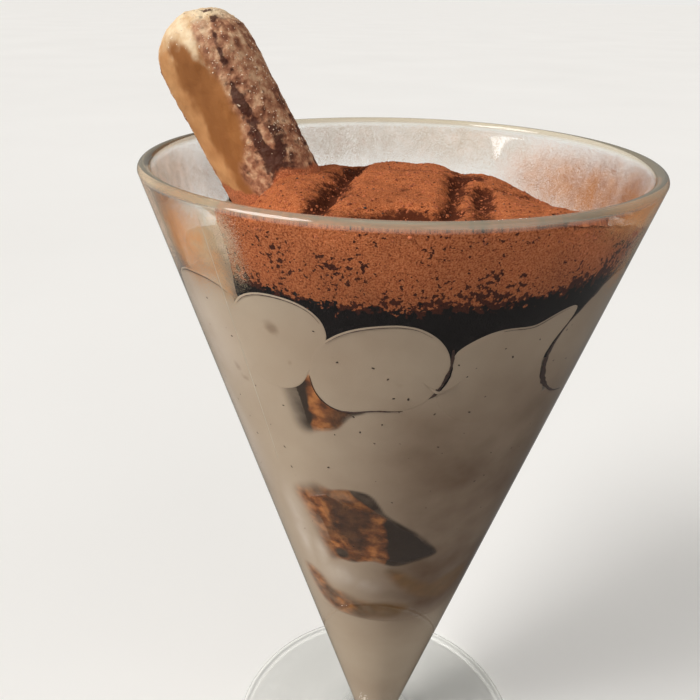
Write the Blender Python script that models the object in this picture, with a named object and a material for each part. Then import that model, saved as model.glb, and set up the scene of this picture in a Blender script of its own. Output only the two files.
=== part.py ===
"""Tiramisu served in a conical footed glass, with a sponge finger standing in it.

The glass is one turned solid. The dessert fills it in layers, each its own closed solid: cream in the
tip, three soaked sponge fingers lying across it, cream, a fourth soaked finger, a ring of spooned cream
dollops against the wall, and cocoa heaped over them. Metres, +Z up. The origin is the centre of the
foot's underside. Angles round the glass are in degrees from -Y, positive towards +X.
"""

import math

import bmesh
import bpy
from mathutils import Matrix, Vector

# Driving dimensions of the glass
HEIGHT = 0.1786
RIM_RADIUS = 0.0550
BOWL_SLOPE = 0.29363
WALL = 0.0026
FOOT_RADIUS = 0.0420
FOOT_EDGE = 0.0030
STEM_TOP = 0.0130
CAVITY_FLOOR = 0.0095
CAVITY_ROUNDING = 0.0025
CAVITY_TIP = (0.0016, 0.0004)
# From the stem to the foot: how far out of the stem's side, and how far below its top.
FLARE = ((0.0001, 0.0), (0.0003, 0.0030), (0.0016, 0.0052), (0.0048, 0.0070), (0.0110, 0.0083))
# Round the foot's edge: how far in from its radius, and how high.
FOOT_ROUNDING = (
    (0.0012, FOOT_EDGE),
    (0.0003, FOOT_EDGE - 0.0005),
    (0.0, FOOT_EDGE - 0.0013),
    (0.0006, 0.0004),
    (0.0015, 0.0),
)

# Driving dimensions of the dessert
GAP = 0.0003
TIP_TOP = 0.0664
CREAM_TOP_AT_WALL = 0.1486
CREAM_TOP_RISE = 0.0172
# A crevice in the cream's top at the wall: angle, half width in degrees, depth, and the shares of the
# bowl's radius where it starts and where it is full.
CREVICE_ANGLE = 12.5
CREVICE_HALF = 9.0
CREVICE_DEPTH = 0.0050
CREVICE_FROM = 0.72
CREVICE_FULL = 0.92
COCOA_PLATEAU = 0.1728
COCOA_DROP = 0.0090

SEGMENTS = 40
RIM_STEPS = 6
FACET_ANGLE = math.radians(30)


def bowl_radius(z):
    """Outer radius of the bowl's cone at height z."""
    return RIM_RADIUS + (z - HEIGHT) * BOWL_SLOPE


def fill_radius(z):
    """Radius that the dessert reaches at height z, clear of the wall."""
    return bowl_radius(z) - WALL - GAP


def at_angle(degrees, radius, z):
    """The point at an angle round the glass, measured from -Y towards +X."""
    turn = math.radians(degrees)
    return Vector((radius * math.sin(turn), -radius * math.cos(turn), z))


def smooth_step(value):
    value = min(1.0, max(0.0, value))
    return value * value * (3.0 - 2.0 * value)


def clear_scene():
    for thing in list(bpy.data.objects):
        bpy.data.objects.remove(thing)


def new_material(name, colour, roughness, transmission=0.0):
    material = bpy.data.materials.new(name)
    material.use_nodes = True
    shader = material.node_tree.nodes["Principled BSDF"]
    shader.inputs["Base Color"].default_value = (*colour, 1.0)
    shader.inputs["Roughness"].default_value = roughness
    shader.inputs["Metallic"].default_value = 0.0
    shader.inputs["Transmission Weight"].default_value = transmission
    return material


def new_object(name, mesh, material=None):
    """A visible sub-part when it has a material, and a hidden cutter when it has none."""
    thing = bpy.data.objects.new(name, mesh)
    bpy.context.scene.collection.objects.link(thing)
    if material:
        mesh.materials.append(material)
    else:
        thing.hide_render = True
        thing.display_type = "WIRE"
    return thing


def shade(mesh):
    mesh.shade_smooth()
    mesh.set_sharp_from_angle(angle=FACET_ANGLE)


def combine(thing, other, operation):
    modifier = thing.modifiers.new(f"{operation.lower()}_{other.name}", "BOOLEAN")
    modifier.operation = operation
    modifier.object = other
    modifier.solver = "EXACT"


def turned(name, profile, material=None):
    """Turns a profile of (radius, height) points that starts and ends on the axis."""
    mesh = bpy.data.meshes.new(name)
    edges = [(i, i + 1) for i in range(len(profile) - 1)]
    mesh.from_pydata([(radius, 0.0, z) for radius, z in profile], edges, [])
    thing = new_object(name, mesh, material)
    screw = thing.modifiers.new("turn", "SCREW")
    screw.axis = "Z"
    screw.angle = math.tau
    screw.steps = SEGMENTS
    screw.render_steps = SEGMENTS
    screw.use_merge_vertices = True
    screw.merge_threshold = 0.00001
    screw.use_smooth_shade = True
    return thing


def lofted(name, rings, material=None):
    """A closed body through rings of equal length, with a fan over each end."""
    body = bmesh.new()
    loops = [[body.verts.new(point) for point in ring] for ring in rings]
    for lower, upper in zip(loops, loops[1:]):
        for i in range(len(lower)):
            j = (i + 1) % len(lower)
            body.faces.new((lower[i], lower[j], upper[j], upper[i]))
    for loop in (loops[0], loops[-1]):
        centre = body.verts.new(sum((v.co for v in loop), Vector()) / len(loop))
        for i in range(len(loop)):
            body.faces.new((loop[i], loop[(i + 1) % len(loop)], centre))
    bmesh.ops.recalc_face_normals(body, faces=body.faces)
    mesh = bpy.data.meshes.new(name)
    body.to_mesh(mesh)
    body.free()
    shade(mesh)
    return new_object(name, mesh, material)


# ---------------------------------------------------------------- glass


def glass_profile():
    """From the cavity's floor up the inside, over the round rim, and down the outside to the foot."""
    bead = WALL / 2.0
    bead_height = HEIGHT - bead
    bead_radius = bowl_radius(bead_height) - bead
    tip_radius, tip_rise = CAVITY_TIP
    wall_starts = CAVITY_FLOOR + CAVITY_ROUNDING
    profile = [
        (0.0, CAVITY_FLOOR),
        (tip_radius, CAVITY_FLOOR + tip_rise),
        (bowl_radius(wall_starts) - WALL, wall_starts),
    ]
    for step in range(RIM_STEPS + 1):
        turn = math.pi * (1.0 - step / RIM_STEPS)
        profile.append((bead_radius + bead * math.cos(turn), bead_height + bead * math.sin(turn)))
    stem_radius = bowl_radius(STEM_TOP)
    profile += [(stem_radius + out, STEM_TOP - below) for out, below in FLARE]
    profile += [(FOOT_RADIUS - inwards, z) for inwards, z in FOOT_ROUNDING]
    profile.append((0.0, 0.0))
    return profile


def make_glass():
    glass = new_material("clear_glass", (0.93, 0.95, 0.93), 0.03, transmission=1.0)
    return turned("glass", glass_profile(), glass)


# ---------------------------------------------------------------- biscuits


# A sponge finger's outline: powers that square its flat side, its domed side and its two round ends,
# the least shares of its width and thickness at an end, and how far in the first ring is laid.
FLAT_POWER = 0.77
DOME_POWER = 0.92
END_WIDTH_POWER = 2.2
END_THICKNESS_POWER = 4
LEAST_WIDTH = 0.02
LEAST_THICKNESS = 0.05
FIRST_RING = 0.6


def finger_rings(length, width, thickness, grow=0.0, sides=20, stations=13):
    """Rings of a sponge finger along +Z from its foot, flat below (-Y) and domed above (+Y)."""
    half_width = width / 2.0 + grow
    half_thickness = thickness / 2.0 + grow
    end_run = width / 2.0
    rings = []
    for station in range(stations):
        turn = math.pi * (station + FIRST_RING) / (stations - 1 + 2.0 * FIRST_RING)
        along = -math.cos(turn)
        edge = max(0.0, 1.0 - (1.0 - abs(along)) * length / 2.0 / end_run)
        taper_width = math.sqrt(max(LEAST_WIDTH, 1.0 - edge**END_WIDTH_POWER))
        taper_thickness = math.sqrt(max(LEAST_THICKNESS, 1.0 - edge**END_THICKNESS_POWER))
        z = length / 2.0 + along * (length / 2.0 + grow)
        ring = []
        for side in range(sides):
            around = math.tau * side / sides
            across, over = math.cos(around), math.sin(around)
            roundness = FLAT_POWER if over < 0.0 else DOME_POWER
            u = half_width * taper_width * math.copysign(abs(across) ** FLAT_POWER, across)
            v = half_thickness * taper_thickness * math.copysign(abs(over) ** roundness, over)
            ring.append(Vector((u, v, z)))
        rings.append(ring)
    return rings


def place_finger(rings, foot, tip, dome_towards):
    """Stands the rings on the line from foot to tip, with the domed side turned to dome_towards."""
    along = (tip - foot).normalized()
    dome = dome_towards - along * dome_towards.dot(along)
    dome.normalize()
    across = dome.cross(along)
    turn = Matrix((across, dome, along)).transposed()
    return [[foot + turn @ point for point in ring] for ring in rings]


# The dry finger stands in the cream and leans out to the left on the inside of the rim.
LADY_LENGTH = 0.0830
LADY_WIDTH = 0.0262
LADY_THICKNESS = 0.0164
LADY_AT_RIM = Vector((-0.0347, 0.0130, HEIGHT))
LADY_ALONG = Vector((-0.545, 0.07, 1.0)).normalized()
LADY_ABOVE_RIM = 0.0298
LADY_DOME = Vector((0.56, 0.79, 0.25))

# The soaked fingers lie across the bowl: foot, tip, side the dome faces, width, thickness.
SOAKED = {
    "soaked_biscuit_lower_left": (
        (-0.0096, -0.0340, 0.0768), (-0.0090, 0.0330, 0.0790), (0.0, 0.0, -1.0), 0.0205, 0.0175
    ),
    "soaked_biscuit_lower_right": (
        (0.0142, -0.0330, 0.0790), (0.0136, 0.0320, 0.0800), (-0.4, 0.0, -1.0), 0.0215, 0.0135
    ),
    "soaked_biscuit_middle": (
        (-0.0290, -0.0170, 0.1150), (0.0130, -0.0130, 0.0940), (0.5, 0.0, 1.0), 0.0240, 0.0140
    ),
    "soaked_biscuit_upper": (
        (-0.0150, -0.0470, 0.1385), (0.0230, 0.0240, 0.1370), (0.0, 0.0, -1.0), 0.0190, 0.0140
    ),
}


def make_lady(grow=0.0, material=None):
    foot = LADY_AT_RIM - LADY_ALONG * (LADY_LENGTH - LADY_ABOVE_RIM)
    tip = LADY_AT_RIM + LADY_ALONG * LADY_ABOVE_RIM
    rings = finger_rings(LADY_LENGTH, LADY_WIDTH, LADY_THICKNESS, grow)
    name = "standing_biscuit" if material else "cutter_standing_biscuit"
    return lofted(name, place_finger(rings, foot, tip, LADY_DOME), material)


def make_soaked(name, grow=0.0, material=None):
    foot, tip, dome, width, thickness = SOAKED[name]
    foot, tip = Vector(foot), Vector(tip)
    rings = finger_rings((tip - foot).length, width, thickness, grow, sides=14, stations=9)
    label = name if material else f"cutter_{name}"
    return lofted(label, place_finger(rings, foot, tip, Vector(dome)), material)


# ---------------------------------------------------------------- cream


SPACE_STEPS = (0.080, 0.040)
SPACE_BELOW_RIM = 0.001


def space_profile(top):
    """The bowl's inside up to a height, clear of the wall."""
    floor = CAVITY_FLOOR + GAP
    wall_starts = floor + CAVITY_ROUNDING
    tip_radius, tip_rise = CAVITY_TIP
    profile = [(0.0, top), (fill_radius(top), top)]
    profile += [(fill_radius(z), z) for z in SPACE_STEPS if z < top]
    profile += [(fill_radius(wall_starts), wall_starts), (tip_radius - GAP, floor + tip_rise), (0.0, floor)]
    return profile


# Each dollop: angle and height of its middle at the wall, half width in degrees, half height,
# and tilt of its long way in degrees, positive up to the right. A later one is pressed against
# the earlier ones that it meets, and takes their shape.
DOLLOPS = {
    "dollop_front": (-3.7, 0.1494, 17.3, 0.0098, 8.0),
    "dollop_front_left": (-25.0, 0.1515, 11.8, 0.0112, -18.0),
    "dollop_right": (58.0, 0.1490, 17.5, 0.0140, 0.0),
    "dollop_front_right": (32.5, 0.1472, 21.5, 0.0118, 13.0),
    "dollop_left": (-49.0, 0.1500, 15.0, 0.0124, 0.0),
    "dollop_far_left": (-82.0, 0.1492, 18.5, 0.0120, 5.0),
    "dollop_far_right": (95.0, 0.1502, 20.0, 0.0125, -6.0),
    "dollop_back_left": (-118.0, 0.1506, 19.0, 0.0116, -4.0),
    "dollop_back_right": (133.0, 0.1490, 19.0, 0.0121, 7.0),
    "dollop_back": (170.0, 0.1500, 19.5, 0.0113, -5.0),
    "dollop_back_far_left": (-154.0, 0.1494, 18.5, 0.0119, 3.0),
}
DOLLOP_MIDDLE_RADIUS = 0.0385
DOLLOP_DEPTH = 0.0200
DOLLOPS_REACH_MORE = 6.0


def make_dollop(name, grow=0.0, material=None):
    """An egg of cream with its long way round the wall and its thick side towards the axis."""
    angle, height, half_degrees, half_height, tilt = DOLLOPS[name]
    half_width = math.radians(half_degrees) * fill_radius(height)
    body = bmesh.new()
    bmesh.ops.create_uvsphere(body, u_segments=12, v_segments=8, radius=1.0)
    sizes = Matrix.Diagonal((half_width + grow, DOLLOP_DEPTH + grow, half_height + grow, 1.0))
    place = Matrix.Translation(at_angle(angle, DOLLOP_MIDDLE_RADIUS, height))
    spin = Matrix.Rotation(math.radians(angle), 4, "Z")
    lean = Matrix.Rotation(-math.radians(tilt), 4, "Y")
    bmesh.ops.transform(body, matrix=place @ spin @ lean @ sizes, verts=body.verts)
    label = name if material else f"cutter_{name}"
    mesh = bpy.data.meshes.new(label)
    body.to_mesh(mesh)
    body.free()
    shade(mesh)
    return new_object(label, mesh, material)


def dollops_meet(one, other):
    apart = abs((DOLLOPS[one][0] - DOLLOPS[other][0] + 180.0) % 360.0 - 180.0)
    return apart < DOLLOPS[one][2] + DOLLOPS[other][2] + DOLLOPS_REACH_MORE


def cream_top(angle, radius):
    """Height where the cream between and inside the dollops ends and the cocoa starts."""
    share = radius / fill_radius(CREAM_TOP_AT_WALL)
    height = CREAM_TOP_AT_WALL + CREAM_TOP_RISE * (1.0 - share * share)
    away = abs((angle - CREVICE_ANGLE + 180.0) % 360.0 - 180.0)
    near_wall = smooth_step((share - CREVICE_FROM) / (CREVICE_FULL - CREVICE_FROM))
    return height - CREVICE_DEPTH * near_wall * smooth_step(1.0 - away / CREVICE_HALF)


FLAT_SHARES = (1.0,)
MEETING_SHARES = (0.3, 0.6, 0.8, 1.0)
HEAP_SHARES = (0.15, 0.3, 0.43, 0.55, 0.66, 0.77, 0.88, 0.95, 1.0)
NEAR_WALL_RADIUS = 0.045


def polar_body(name, bottom, bottom_shares, top, top_shares, reach, material):
    """A round body on rings at shares of its reach: bottom and top give heights, reach the radius."""
    angles = [360.0 * i / SEGMENTS - 180.0 for i in range(SEGMENTS)]

    def ring(surface, share):
        points = []
        for angle in angles:
            z = surface(angle, reach(angle, surface(angle, NEAR_WALL_RADIUS)) * share)
            radius = reach(angle, z) * share
            points.append(at_angle(angle, radius, surface(angle, radius)))
        return points

    rings = [ring(bottom, share) for share in bottom_shares]
    rings += [ring(top, share) for share in reversed(top_shares)]
    return lofted(name, rings, material)


def wall_reach(_angle, z):
    return fill_radius(z)


def flat_tip_top(_angle, _radius):
    return TIP_TOP + GAP


# ---------------------------------------------------------------- cocoa


# Furrows of the heap: start and end of each on plan, depth and half width.
FURROWS = (
    ((-0.0100, 0.0180), (-0.0160, -0.0300), 0.0026, 0.0028),
    ((0.0130, 0.0040), (0.0100, -0.0260), 0.0020, 0.0022),
    ((0.0180, -0.0040), (0.0160, -0.0300), 0.0020, 0.0022),
    ((-0.0040, -0.0270), (0.0035, -0.0280), 0.0034, 0.0050),
    ((0.0150, 0.0260), (0.0150, 0.0060), 0.0016, 0.0040),
)
HEAP_MIDDLE = Vector((-0.0010, -0.0140))
HEAP_FLAT = 0.0315
HEAP_RUN = 0.0240
# The heap has slumped by SLUMP at the back right, from (x, y) on over SLUMP_RUN, and has a low hump.
SLUMP = 0.0032
SLUMP_FROM = (0.016, -0.022)
SLUMP_RUN = (0.018, 0.020)
HUMP = 0.0010
HUMP_MIDDLE = (0.004, 0.004)
HUMP_HALF = (0.012, 0.014)
# It is banked against the front of the wall: angle, height, and where the bank starts and is full, as
# radii and as cosines of the angle from its middle.
BANK_ANGLE = 8.0
BANK = 0.0022
BANK_RADII = (0.034, 0.048)
BANK_COSINES = (0.45, 0.85)
# The pocket at the left: angles where it starts and ends, over how many degrees, how much lower the
# heap is beside it and from which radii, and how far the heap reaches in it.
POCKET_ANGLES = (-118.0, -30.0)
POCKET_RUN = 14.0
POCKET_DROP = 0.0075
POCKET_RADII = (0.024, 0.036)
POCKET_REACH = 0.0365


def furrow_depth(x, y):
    depth = 0.0
    for start, end, most, half_width in FURROWS:
        start, end = Vector(start), Vector(end)
        line = end - start
        along = min(1.0, max(0.0, (Vector((x, y)) - start).dot(line) / line.length_squared))
        away = (Vector((x, y)) - start - line * along).length
        depth += most * math.exp(-((away / half_width) ** 2))
    return depth


def rises(value, limits):
    """0 at the first limit and before it, 1 at the second and after it."""
    return smooth_step((value - limits[0]) / (limits[1] - limits[0]))


def pocket(angle):
    """1 in the empty pocket at the left, where no cocoa fell, and 0 outside it."""
    first, last = POCKET_ANGLES
    return smooth_step((angle - first) / POCKET_RUN) * smooth_step((last - angle) / POCKET_RUN)


def slump_and_hump(x, y):
    slump = smooth_step((x - SLUMP_FROM[0]) / SLUMP_RUN[0]) * smooth_step((y - SLUMP_FROM[1]) / SLUMP_RUN[1])
    across, over = (x - HUMP_MIDDLE[0]) / HUMP_HALF[0], (y - HUMP_MIDDLE[1]) / HUMP_HALF[1]
    return HUMP * math.exp(-across * across - over * over) - SLUMP * slump


def cocoa_top(angle, radius):
    point = at_angle(angle, radius, 0.0)
    away = (Vector((point.x, point.y)) - HEAP_MIDDLE).length
    height = COCOA_PLATEAU - COCOA_DROP * smooth_step((away - HEAP_FLAT) / HEAP_RUN)
    height += slump_and_hump(point.x, point.y) - furrow_depth(point.x, point.y)
    front = math.cos(math.radians(angle - BANK_ANGLE))
    height += BANK * rises(radius, BANK_RADII) * rises(front, BANK_COSINES)
    height -= POCKET_DROP * pocket(angle) * rises(radius, POCKET_RADII)
    return height


def cocoa_reach(angle, z):
    full = fill_radius(z)
    return full + (POCKET_REACH - full) * pocket(angle)


def cocoa_bottom(angle, radius):
    return cream_top(angle, radius) + GAP


# ---------------------------------------------------------------- assembly


def build():
    clear_scene()
    make_glass()

    sponge = new_material("dry_sponge", (0.66, 0.42, 0.20), 0.8)
    soaked = new_material("soaked_sponge", (0.25, 0.12, 0.05), 0.55)
    cream = new_material("mascarpone_cream", (0.78, 0.72, 0.62), 0.45)
    powder = new_material("cocoa_powder", (0.28, 0.10, 0.04), 0.95)

    space = turned("cutter_bowl_space", space_profile(HEIGHT - SPACE_BELOW_RIM))
    make_lady(material=sponge)
    lady_cutter = make_lady(grow=GAP)
    turned("cream_tip", space_profile(TIP_TOP), cream)

    soaked_cutters = {}
    for name in SOAKED:
        piece = make_soaked(name, material=soaked)
        combine(piece, space, "INTERSECT")
        for earlier in soaked_cutters.values():
            combine(piece, earlier, "DIFFERENCE")
        soaked_cutters[name] = make_soaked(name, grow=GAP)

    dollop_cutters = {name: make_dollop(name, grow=GAP) for name in DOLLOPS}
    laid = []
    for name in DOLLOPS:
        piece = make_dollop(name, material=cream)
        combine(piece, space, "INTERSECT")
        for earlier in laid:
            if dollops_meet(name, earlier):
                combine(piece, dollop_cutters[earlier], "DIFFERENCE")
        combine(piece, lady_cutter, "DIFFERENCE")
        combine(piece, soaked_cutters["soaked_biscuit_upper"], "DIFFERENCE")
        laid.append(name)

    layer = polar_body(
        "cream_layer", flat_tip_top, FLAT_SHARES, cream_top, MEETING_SHARES, wall_reach, cream
    )
    heap = polar_body(
        "cocoa", cocoa_bottom, MEETING_SHARES, cocoa_top, HEAP_SHARES, cocoa_reach, powder
    )
    for cutter in soaked_cutters.values():
        combine(layer, cutter, "DIFFERENCE")
    for thing in (layer, heap):
        for cutter in dollop_cutters.values():
            combine(thing, cutter, "DIFFERENCE")
        combine(thing, lady_cutter, "DIFFERENCE")


build()
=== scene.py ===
"""The looks of a tiramisu served in a conical footed glass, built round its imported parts.

Metres, +Z up, the glass's axis on Z, its foot on the floor at z = 0. Angles round the glass are in
degrees from -Y, positive towards +X.
"""

import math

import bpy
import numpy as np
from mathutils import Matrix, Vector, noise


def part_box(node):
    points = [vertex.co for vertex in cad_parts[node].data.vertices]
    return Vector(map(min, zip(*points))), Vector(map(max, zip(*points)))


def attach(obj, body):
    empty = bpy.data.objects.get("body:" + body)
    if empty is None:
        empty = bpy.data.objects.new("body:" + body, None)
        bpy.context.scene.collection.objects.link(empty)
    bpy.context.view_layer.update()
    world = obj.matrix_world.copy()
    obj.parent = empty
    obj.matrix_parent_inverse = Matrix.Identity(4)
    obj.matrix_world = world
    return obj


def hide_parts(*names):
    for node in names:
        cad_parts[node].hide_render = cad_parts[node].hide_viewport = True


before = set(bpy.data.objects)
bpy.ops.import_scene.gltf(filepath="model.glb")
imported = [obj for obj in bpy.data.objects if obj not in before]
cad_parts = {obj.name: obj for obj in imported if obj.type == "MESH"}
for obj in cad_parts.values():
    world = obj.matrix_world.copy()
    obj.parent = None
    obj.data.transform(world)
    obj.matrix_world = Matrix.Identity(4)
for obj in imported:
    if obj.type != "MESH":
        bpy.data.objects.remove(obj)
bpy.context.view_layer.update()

# ---------------------------------------------------------------- camera, table top and studio light
# The glass stands on a plain pale table top. The eye is close, a little above the rim, and looks down
# into the glass. The light is two soft suns: a strong one from the left and a weak one from the right.

EYE = Vector((0.0, -0.16401, 0.20911))
LENS = 38.571
SENSOR = 36.0
PITCH, YAW, ROLL = (math.radians(angle) for angle in (25.275, -3.442, 1.009))


def aim_camera():
    ahead = Vector((math.sin(YAW) * math.cos(PITCH), math.cos(YAW) * math.cos(PITCH), -math.sin(PITCH)))
    level = ahead.cross(Vector((0.0, 0.0, 1.0))).normalized()
    above = level.cross(ahead)
    right = math.cos(ROLL) * level + math.sin(ROLL) * above
    up = math.cos(ROLL) * above - math.sin(ROLL) * level
    lens = bpy.data.cameras.new("camera")
    lens.lens, lens.sensor_width = LENS, SENSOR
    lens.clip_start, lens.clip_end = 0.005, 200.0
    camera = bpy.data.objects.new("camera", lens)
    camera.matrix_world = Matrix.Translation(EYE) @ Matrix((right, up, -ahead)).transposed().to_4x4()
    bpy.context.scene.collection.objects.link(camera)
    bpy.context.scene.camera = camera


def tone(red, green, blue):
    """A colour given as it looks on a display, out of 255, as the linear colour that shaders take."""
    shares = [value / 255.0 for value in (red, green, blue)]
    return (*[s / 12.92 if s <= 0.04045 else ((s + 0.055) / 1.055) ** 2.4 for s in shares], 1.0)


def add(tree, kind, inputs=None, **settings):
    """A node with its settings. An input is a value, or another node's socket, which is linked."""
    node = tree.nodes.new(kind)
    for name, value in settings.items():
        setattr(node, name, value)
    for name, value in (inputs or {}).items():
        if isinstance(value, bpy.types.NodeSocket):
            tree.links.new(value, node.inputs[name])
        else:
            node.inputs[name].default_value = value
    return node


def new_finish(name, **values):
    """A Principled material, its node tree and its shader, with plain values set on the shader."""
    material = bpy.data.materials.new(name)
    material.use_nodes = True
    shader = material.node_tree.nodes["Principled BSDF"]
    for socket, value in values.items():
        shader.inputs[socket.replace("_", " ")].default_value = value
    return material, material.node_tree, shader


def grain(tree, scale, detail=4.0, stretch=(1.0, 1.0, 1.0)):
    """Cloudy noise over the piece in metres, from 0 to 1; scale is in clouds a metre."""
    place = add(tree, "ShaderNodeTexCoord").outputs["Object"]
    place = add(tree, "ShaderNodeMapping", {"Vector": place, "Scale": stretch}).outputs["Vector"]
    inputs = {"Vector": place, "Scale": scale, "Detail": detail}
    return add(tree, "ShaderNodeTexNoise", inputs).outputs["Fac"]


def ramp(tree, amount, *stops):
    """Colours or grey values by amount: each stop is a position and a colour or a number."""
    node = add(tree, "ShaderNodeValToRGB", {"Fac": amount})
    elements = node.color_ramp.elements
    while len(elements) < len(stops):
        elements.new(0.5)
    for element, (position, colour) in zip(elements, stops):
        element.position = position
        element.color = colour if isinstance(colour, tuple) else (colour, colour, colour, 1.0)
    return node.outputs["Color"]


def mixed(tree, amount, first, second, way="MIX"):
    """Two colours mixed by amount."""
    inputs = {0: amount, 6: first, 7: second}
    return add(tree, "ShaderNodeMix", inputs, data_type="RGBA", blend_type=way).outputs[2]


def sums(tree, operation, first, second=None):
    """One sum on a number, or on two."""
    inputs = {0: first} if second is None else {0: first, 1: second}
    return add(tree, "ShaderNodeMath", inputs, operation=operation).outputs[0]


def relief(tree, shader, height, distance, strength=1.0):
    """Raises the surface by height, a value from 0 to 1, times distance in metres."""
    inputs = {"Height": height, "Distance": distance, "Strength": strength}
    tree.links.new(add(tree, "ShaderNodeBump", inputs).outputs["Normal"], shader.inputs["Normal"])


def colour_with(tree, shader, colour):
    tree.links.new(colour, shader.inputs["Base Color"])


TABLE_HALF = 60.0
TABLE_DARKEST = (0.92, 0.91, 0.895, 1.0)
TABLE_PALEST = (0.95, 0.94, 0.925, 1.0)
# How much of the table's paleness is left in light that it throws back, and in its mirror images.
BOUNCE = 0.43
MIRRORED = 0.17


def make_table_top():
    mesh = bpy.data.meshes.new("table_top")
    corners = [(x * TABLE_HALF, y * TABLE_HALF, 0.0) for x, y in ((-1, -1), (1, -1), (1, 1), (-1, 1))]
    mesh.from_pydata(corners, [], [(0, 1, 2, 3)])
    material, tree, shader = new_finish("pale_table", Roughness=0.8, Specular_IOR_Level=0.2)
    clouds = ramp(tree, grain(tree, 3.0), (0.3, TABLE_DARKEST), (0.7, TABLE_PALEST))
    path = add(tree, "ShaderNodeLightPath").outputs
    bounced = sums(tree, "MULTIPLY", path["Is Diffuse Ray"], 1.0 - BOUNCE)
    mirrored = sums(tree, "GREATER_THAN", path["Glossy Depth"], 0.5)
    mirrored = sums(tree, "MULTIPLY", mirrored, 1.0 - MIRRORED)
    held_back = sums(tree, "SUBTRACT", 1.0, sums(tree, "MAXIMUM", bounced, mirrored))
    colour_with(tree, shader, mixed(tree, 1.0, clouds, held_back, "MULTIPLY"))
    mesh.materials.append(material)
    table = bpy.data.objects.new("table_top", mesh)
    bpy.context.scene.collection.objects.link(table)


def towards(azimuth, elevation):
    """A direction by its angle round the glass from -Y towards +X, and its height over the horizon."""
    azimuth, elevation = math.radians(azimuth), math.radians(elevation)
    flat = math.cos(elevation)
    return Vector((math.sin(azimuth) * flat, -math.cos(azimuth) * flat, math.sin(elevation)))


def add_sun(name, azimuth, elevation, strength, softness, colour):
    light = bpy.data.lights.new(name, "SUN")
    light.energy, light.angle, light.color = strength, math.radians(softness), colour
    sun = bpy.data.objects.new(name, light)
    sun.rotation_euler = towards(azimuth, elevation).to_track_quat("Z", "Y").to_euler()
    bpy.context.scene.collection.objects.link(sun)


ROOM_LIGHT = (0.27, 0.265, 0.255, 1.0)
ROOM_SEEN = (0.84, 0.83, 0.81, 1.0)


def light_studio():
    world = bpy.data.worlds.new("studio")
    world.use_nodes = True
    tree = world.node_tree
    background = tree.nodes["Background"]
    seen = add(tree, "ShaderNodeLightPath").outputs["Is Camera Ray"]
    tree.links.new(mixed(tree, seen, ROOM_LIGHT, ROOM_SEEN), background.inputs["Color"])
    bpy.context.scene.world = world
    add_sun("key_light", -62.0, 36.0, 3.0, 35.0, (1.0, 0.985, 0.96))
    add_sun("fill_light", 48.0, 34.0, 0.65, 60.0, (1.0, 0.98, 0.95))


aim_camera()
make_table_top()
light_studio()
bpy.context.scene.view_settings.view_transform = "Standard"

# ---------------------------------------------------------------- glass
# One piece of clear pressed glass: a thin cone on a round foot, drawn out of the same gather, with a
# fire-polished bead for a rim. It is turned from its outline, as such a glass is blown in a round mould.

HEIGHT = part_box("glass")[1].z
RIM_RADIUS = 0.0550
BOWL_SLOPE = 0.29363
WALL = 0.0026
FOOT_RADIUS = 0.0420
FOOT_EDGE = 0.0030
STEM_TOP = 0.0130
CAVITY_FLOOR = 0.0095
CAVITY_ROUNDING = 0.0025
# How the cone runs out into the foot: out from its edge, and height. Then how the foot's edge is
# rounded: in from its radius, and height.
FLARE = ((0.0001, 0.0130), (0.0003, 0.0100), (0.0016, 0.0078), (0.0048, 0.0060), (0.0110, 0.0047))
FOOT_ROUNDING = (
    (0.0012, FOOT_EDGE), (0.0003, FOOT_EDGE - 0.0005), (0.0, FOOT_EDGE - 0.0013),
    (0.0006, 0.0004), (0.0015, 0.0),
)


def outer_radius(z):
    """Radius of the cone's outside at height z, or at an array of heights."""
    return RIM_RADIUS + (z - HEIGHT) * BOWL_SLOPE


def wall_radius(z, into=0.0):
    """Radius of the cone's inside, plus how far something reaches into the wall."""
    return outer_radius(z) - WALL + into


def new_piece(name, mesh, material=None, smooth=True):
    piece = bpy.data.objects.new(name, mesh)
    bpy.context.scene.collection.objects.link(piece)
    if material:
        mesh.materials.append(material)
    if smooth:
        mesh.shade_smooth()
    return piece


def glass_outline():
    """Points (radius, height) from the cavity's floor, over the rim's bead, down to the foot's middle."""
    bead = WALL / 2.0
    bead_height = HEIGHT - bead
    bead_radius = outer_radius(bead_height) - bead
    points = [(0.0, CAVITY_FLOOR)]
    tip = wall_radius(CAVITY_FLOOR + CAVITY_ROUNDING)
    points += [(tip * math.sin(turn), CAVITY_FLOOR + CAVITY_ROUNDING * (1.0 - math.cos(turn)))
               for turn in np.linspace(0.2, math.pi / 2.0, 9)]
    points += [(wall_radius(z), z) for z in np.linspace(CAVITY_FLOOR + 0.006, bead_height - 0.002, 30)]
    points += [(bead_radius + bead * math.cos(turn), bead_height + bead * math.sin(turn))
               for turn in np.linspace(math.pi, 0.0, 17)]
    points += [(outer_radius(z), z) for z in np.linspace(bead_height - 0.002, STEM_TOP + 0.006, 30)]
    rounded = [Vector((outer_radius(STEM_TOP) + out, z)) for out, z in FLARE]
    rounded += [Vector((FOOT_RADIUS - inwards, z)) for inwards, z in FOOT_ROUNDING]
    points += [tuple(point) for point in through(rounded, 6)]
    points += [(FOOT_RADIUS * share, 0.0) for share in (0.8, 0.5, 0.2)]
    points.append((0.0, 0.0))
    return points


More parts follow.
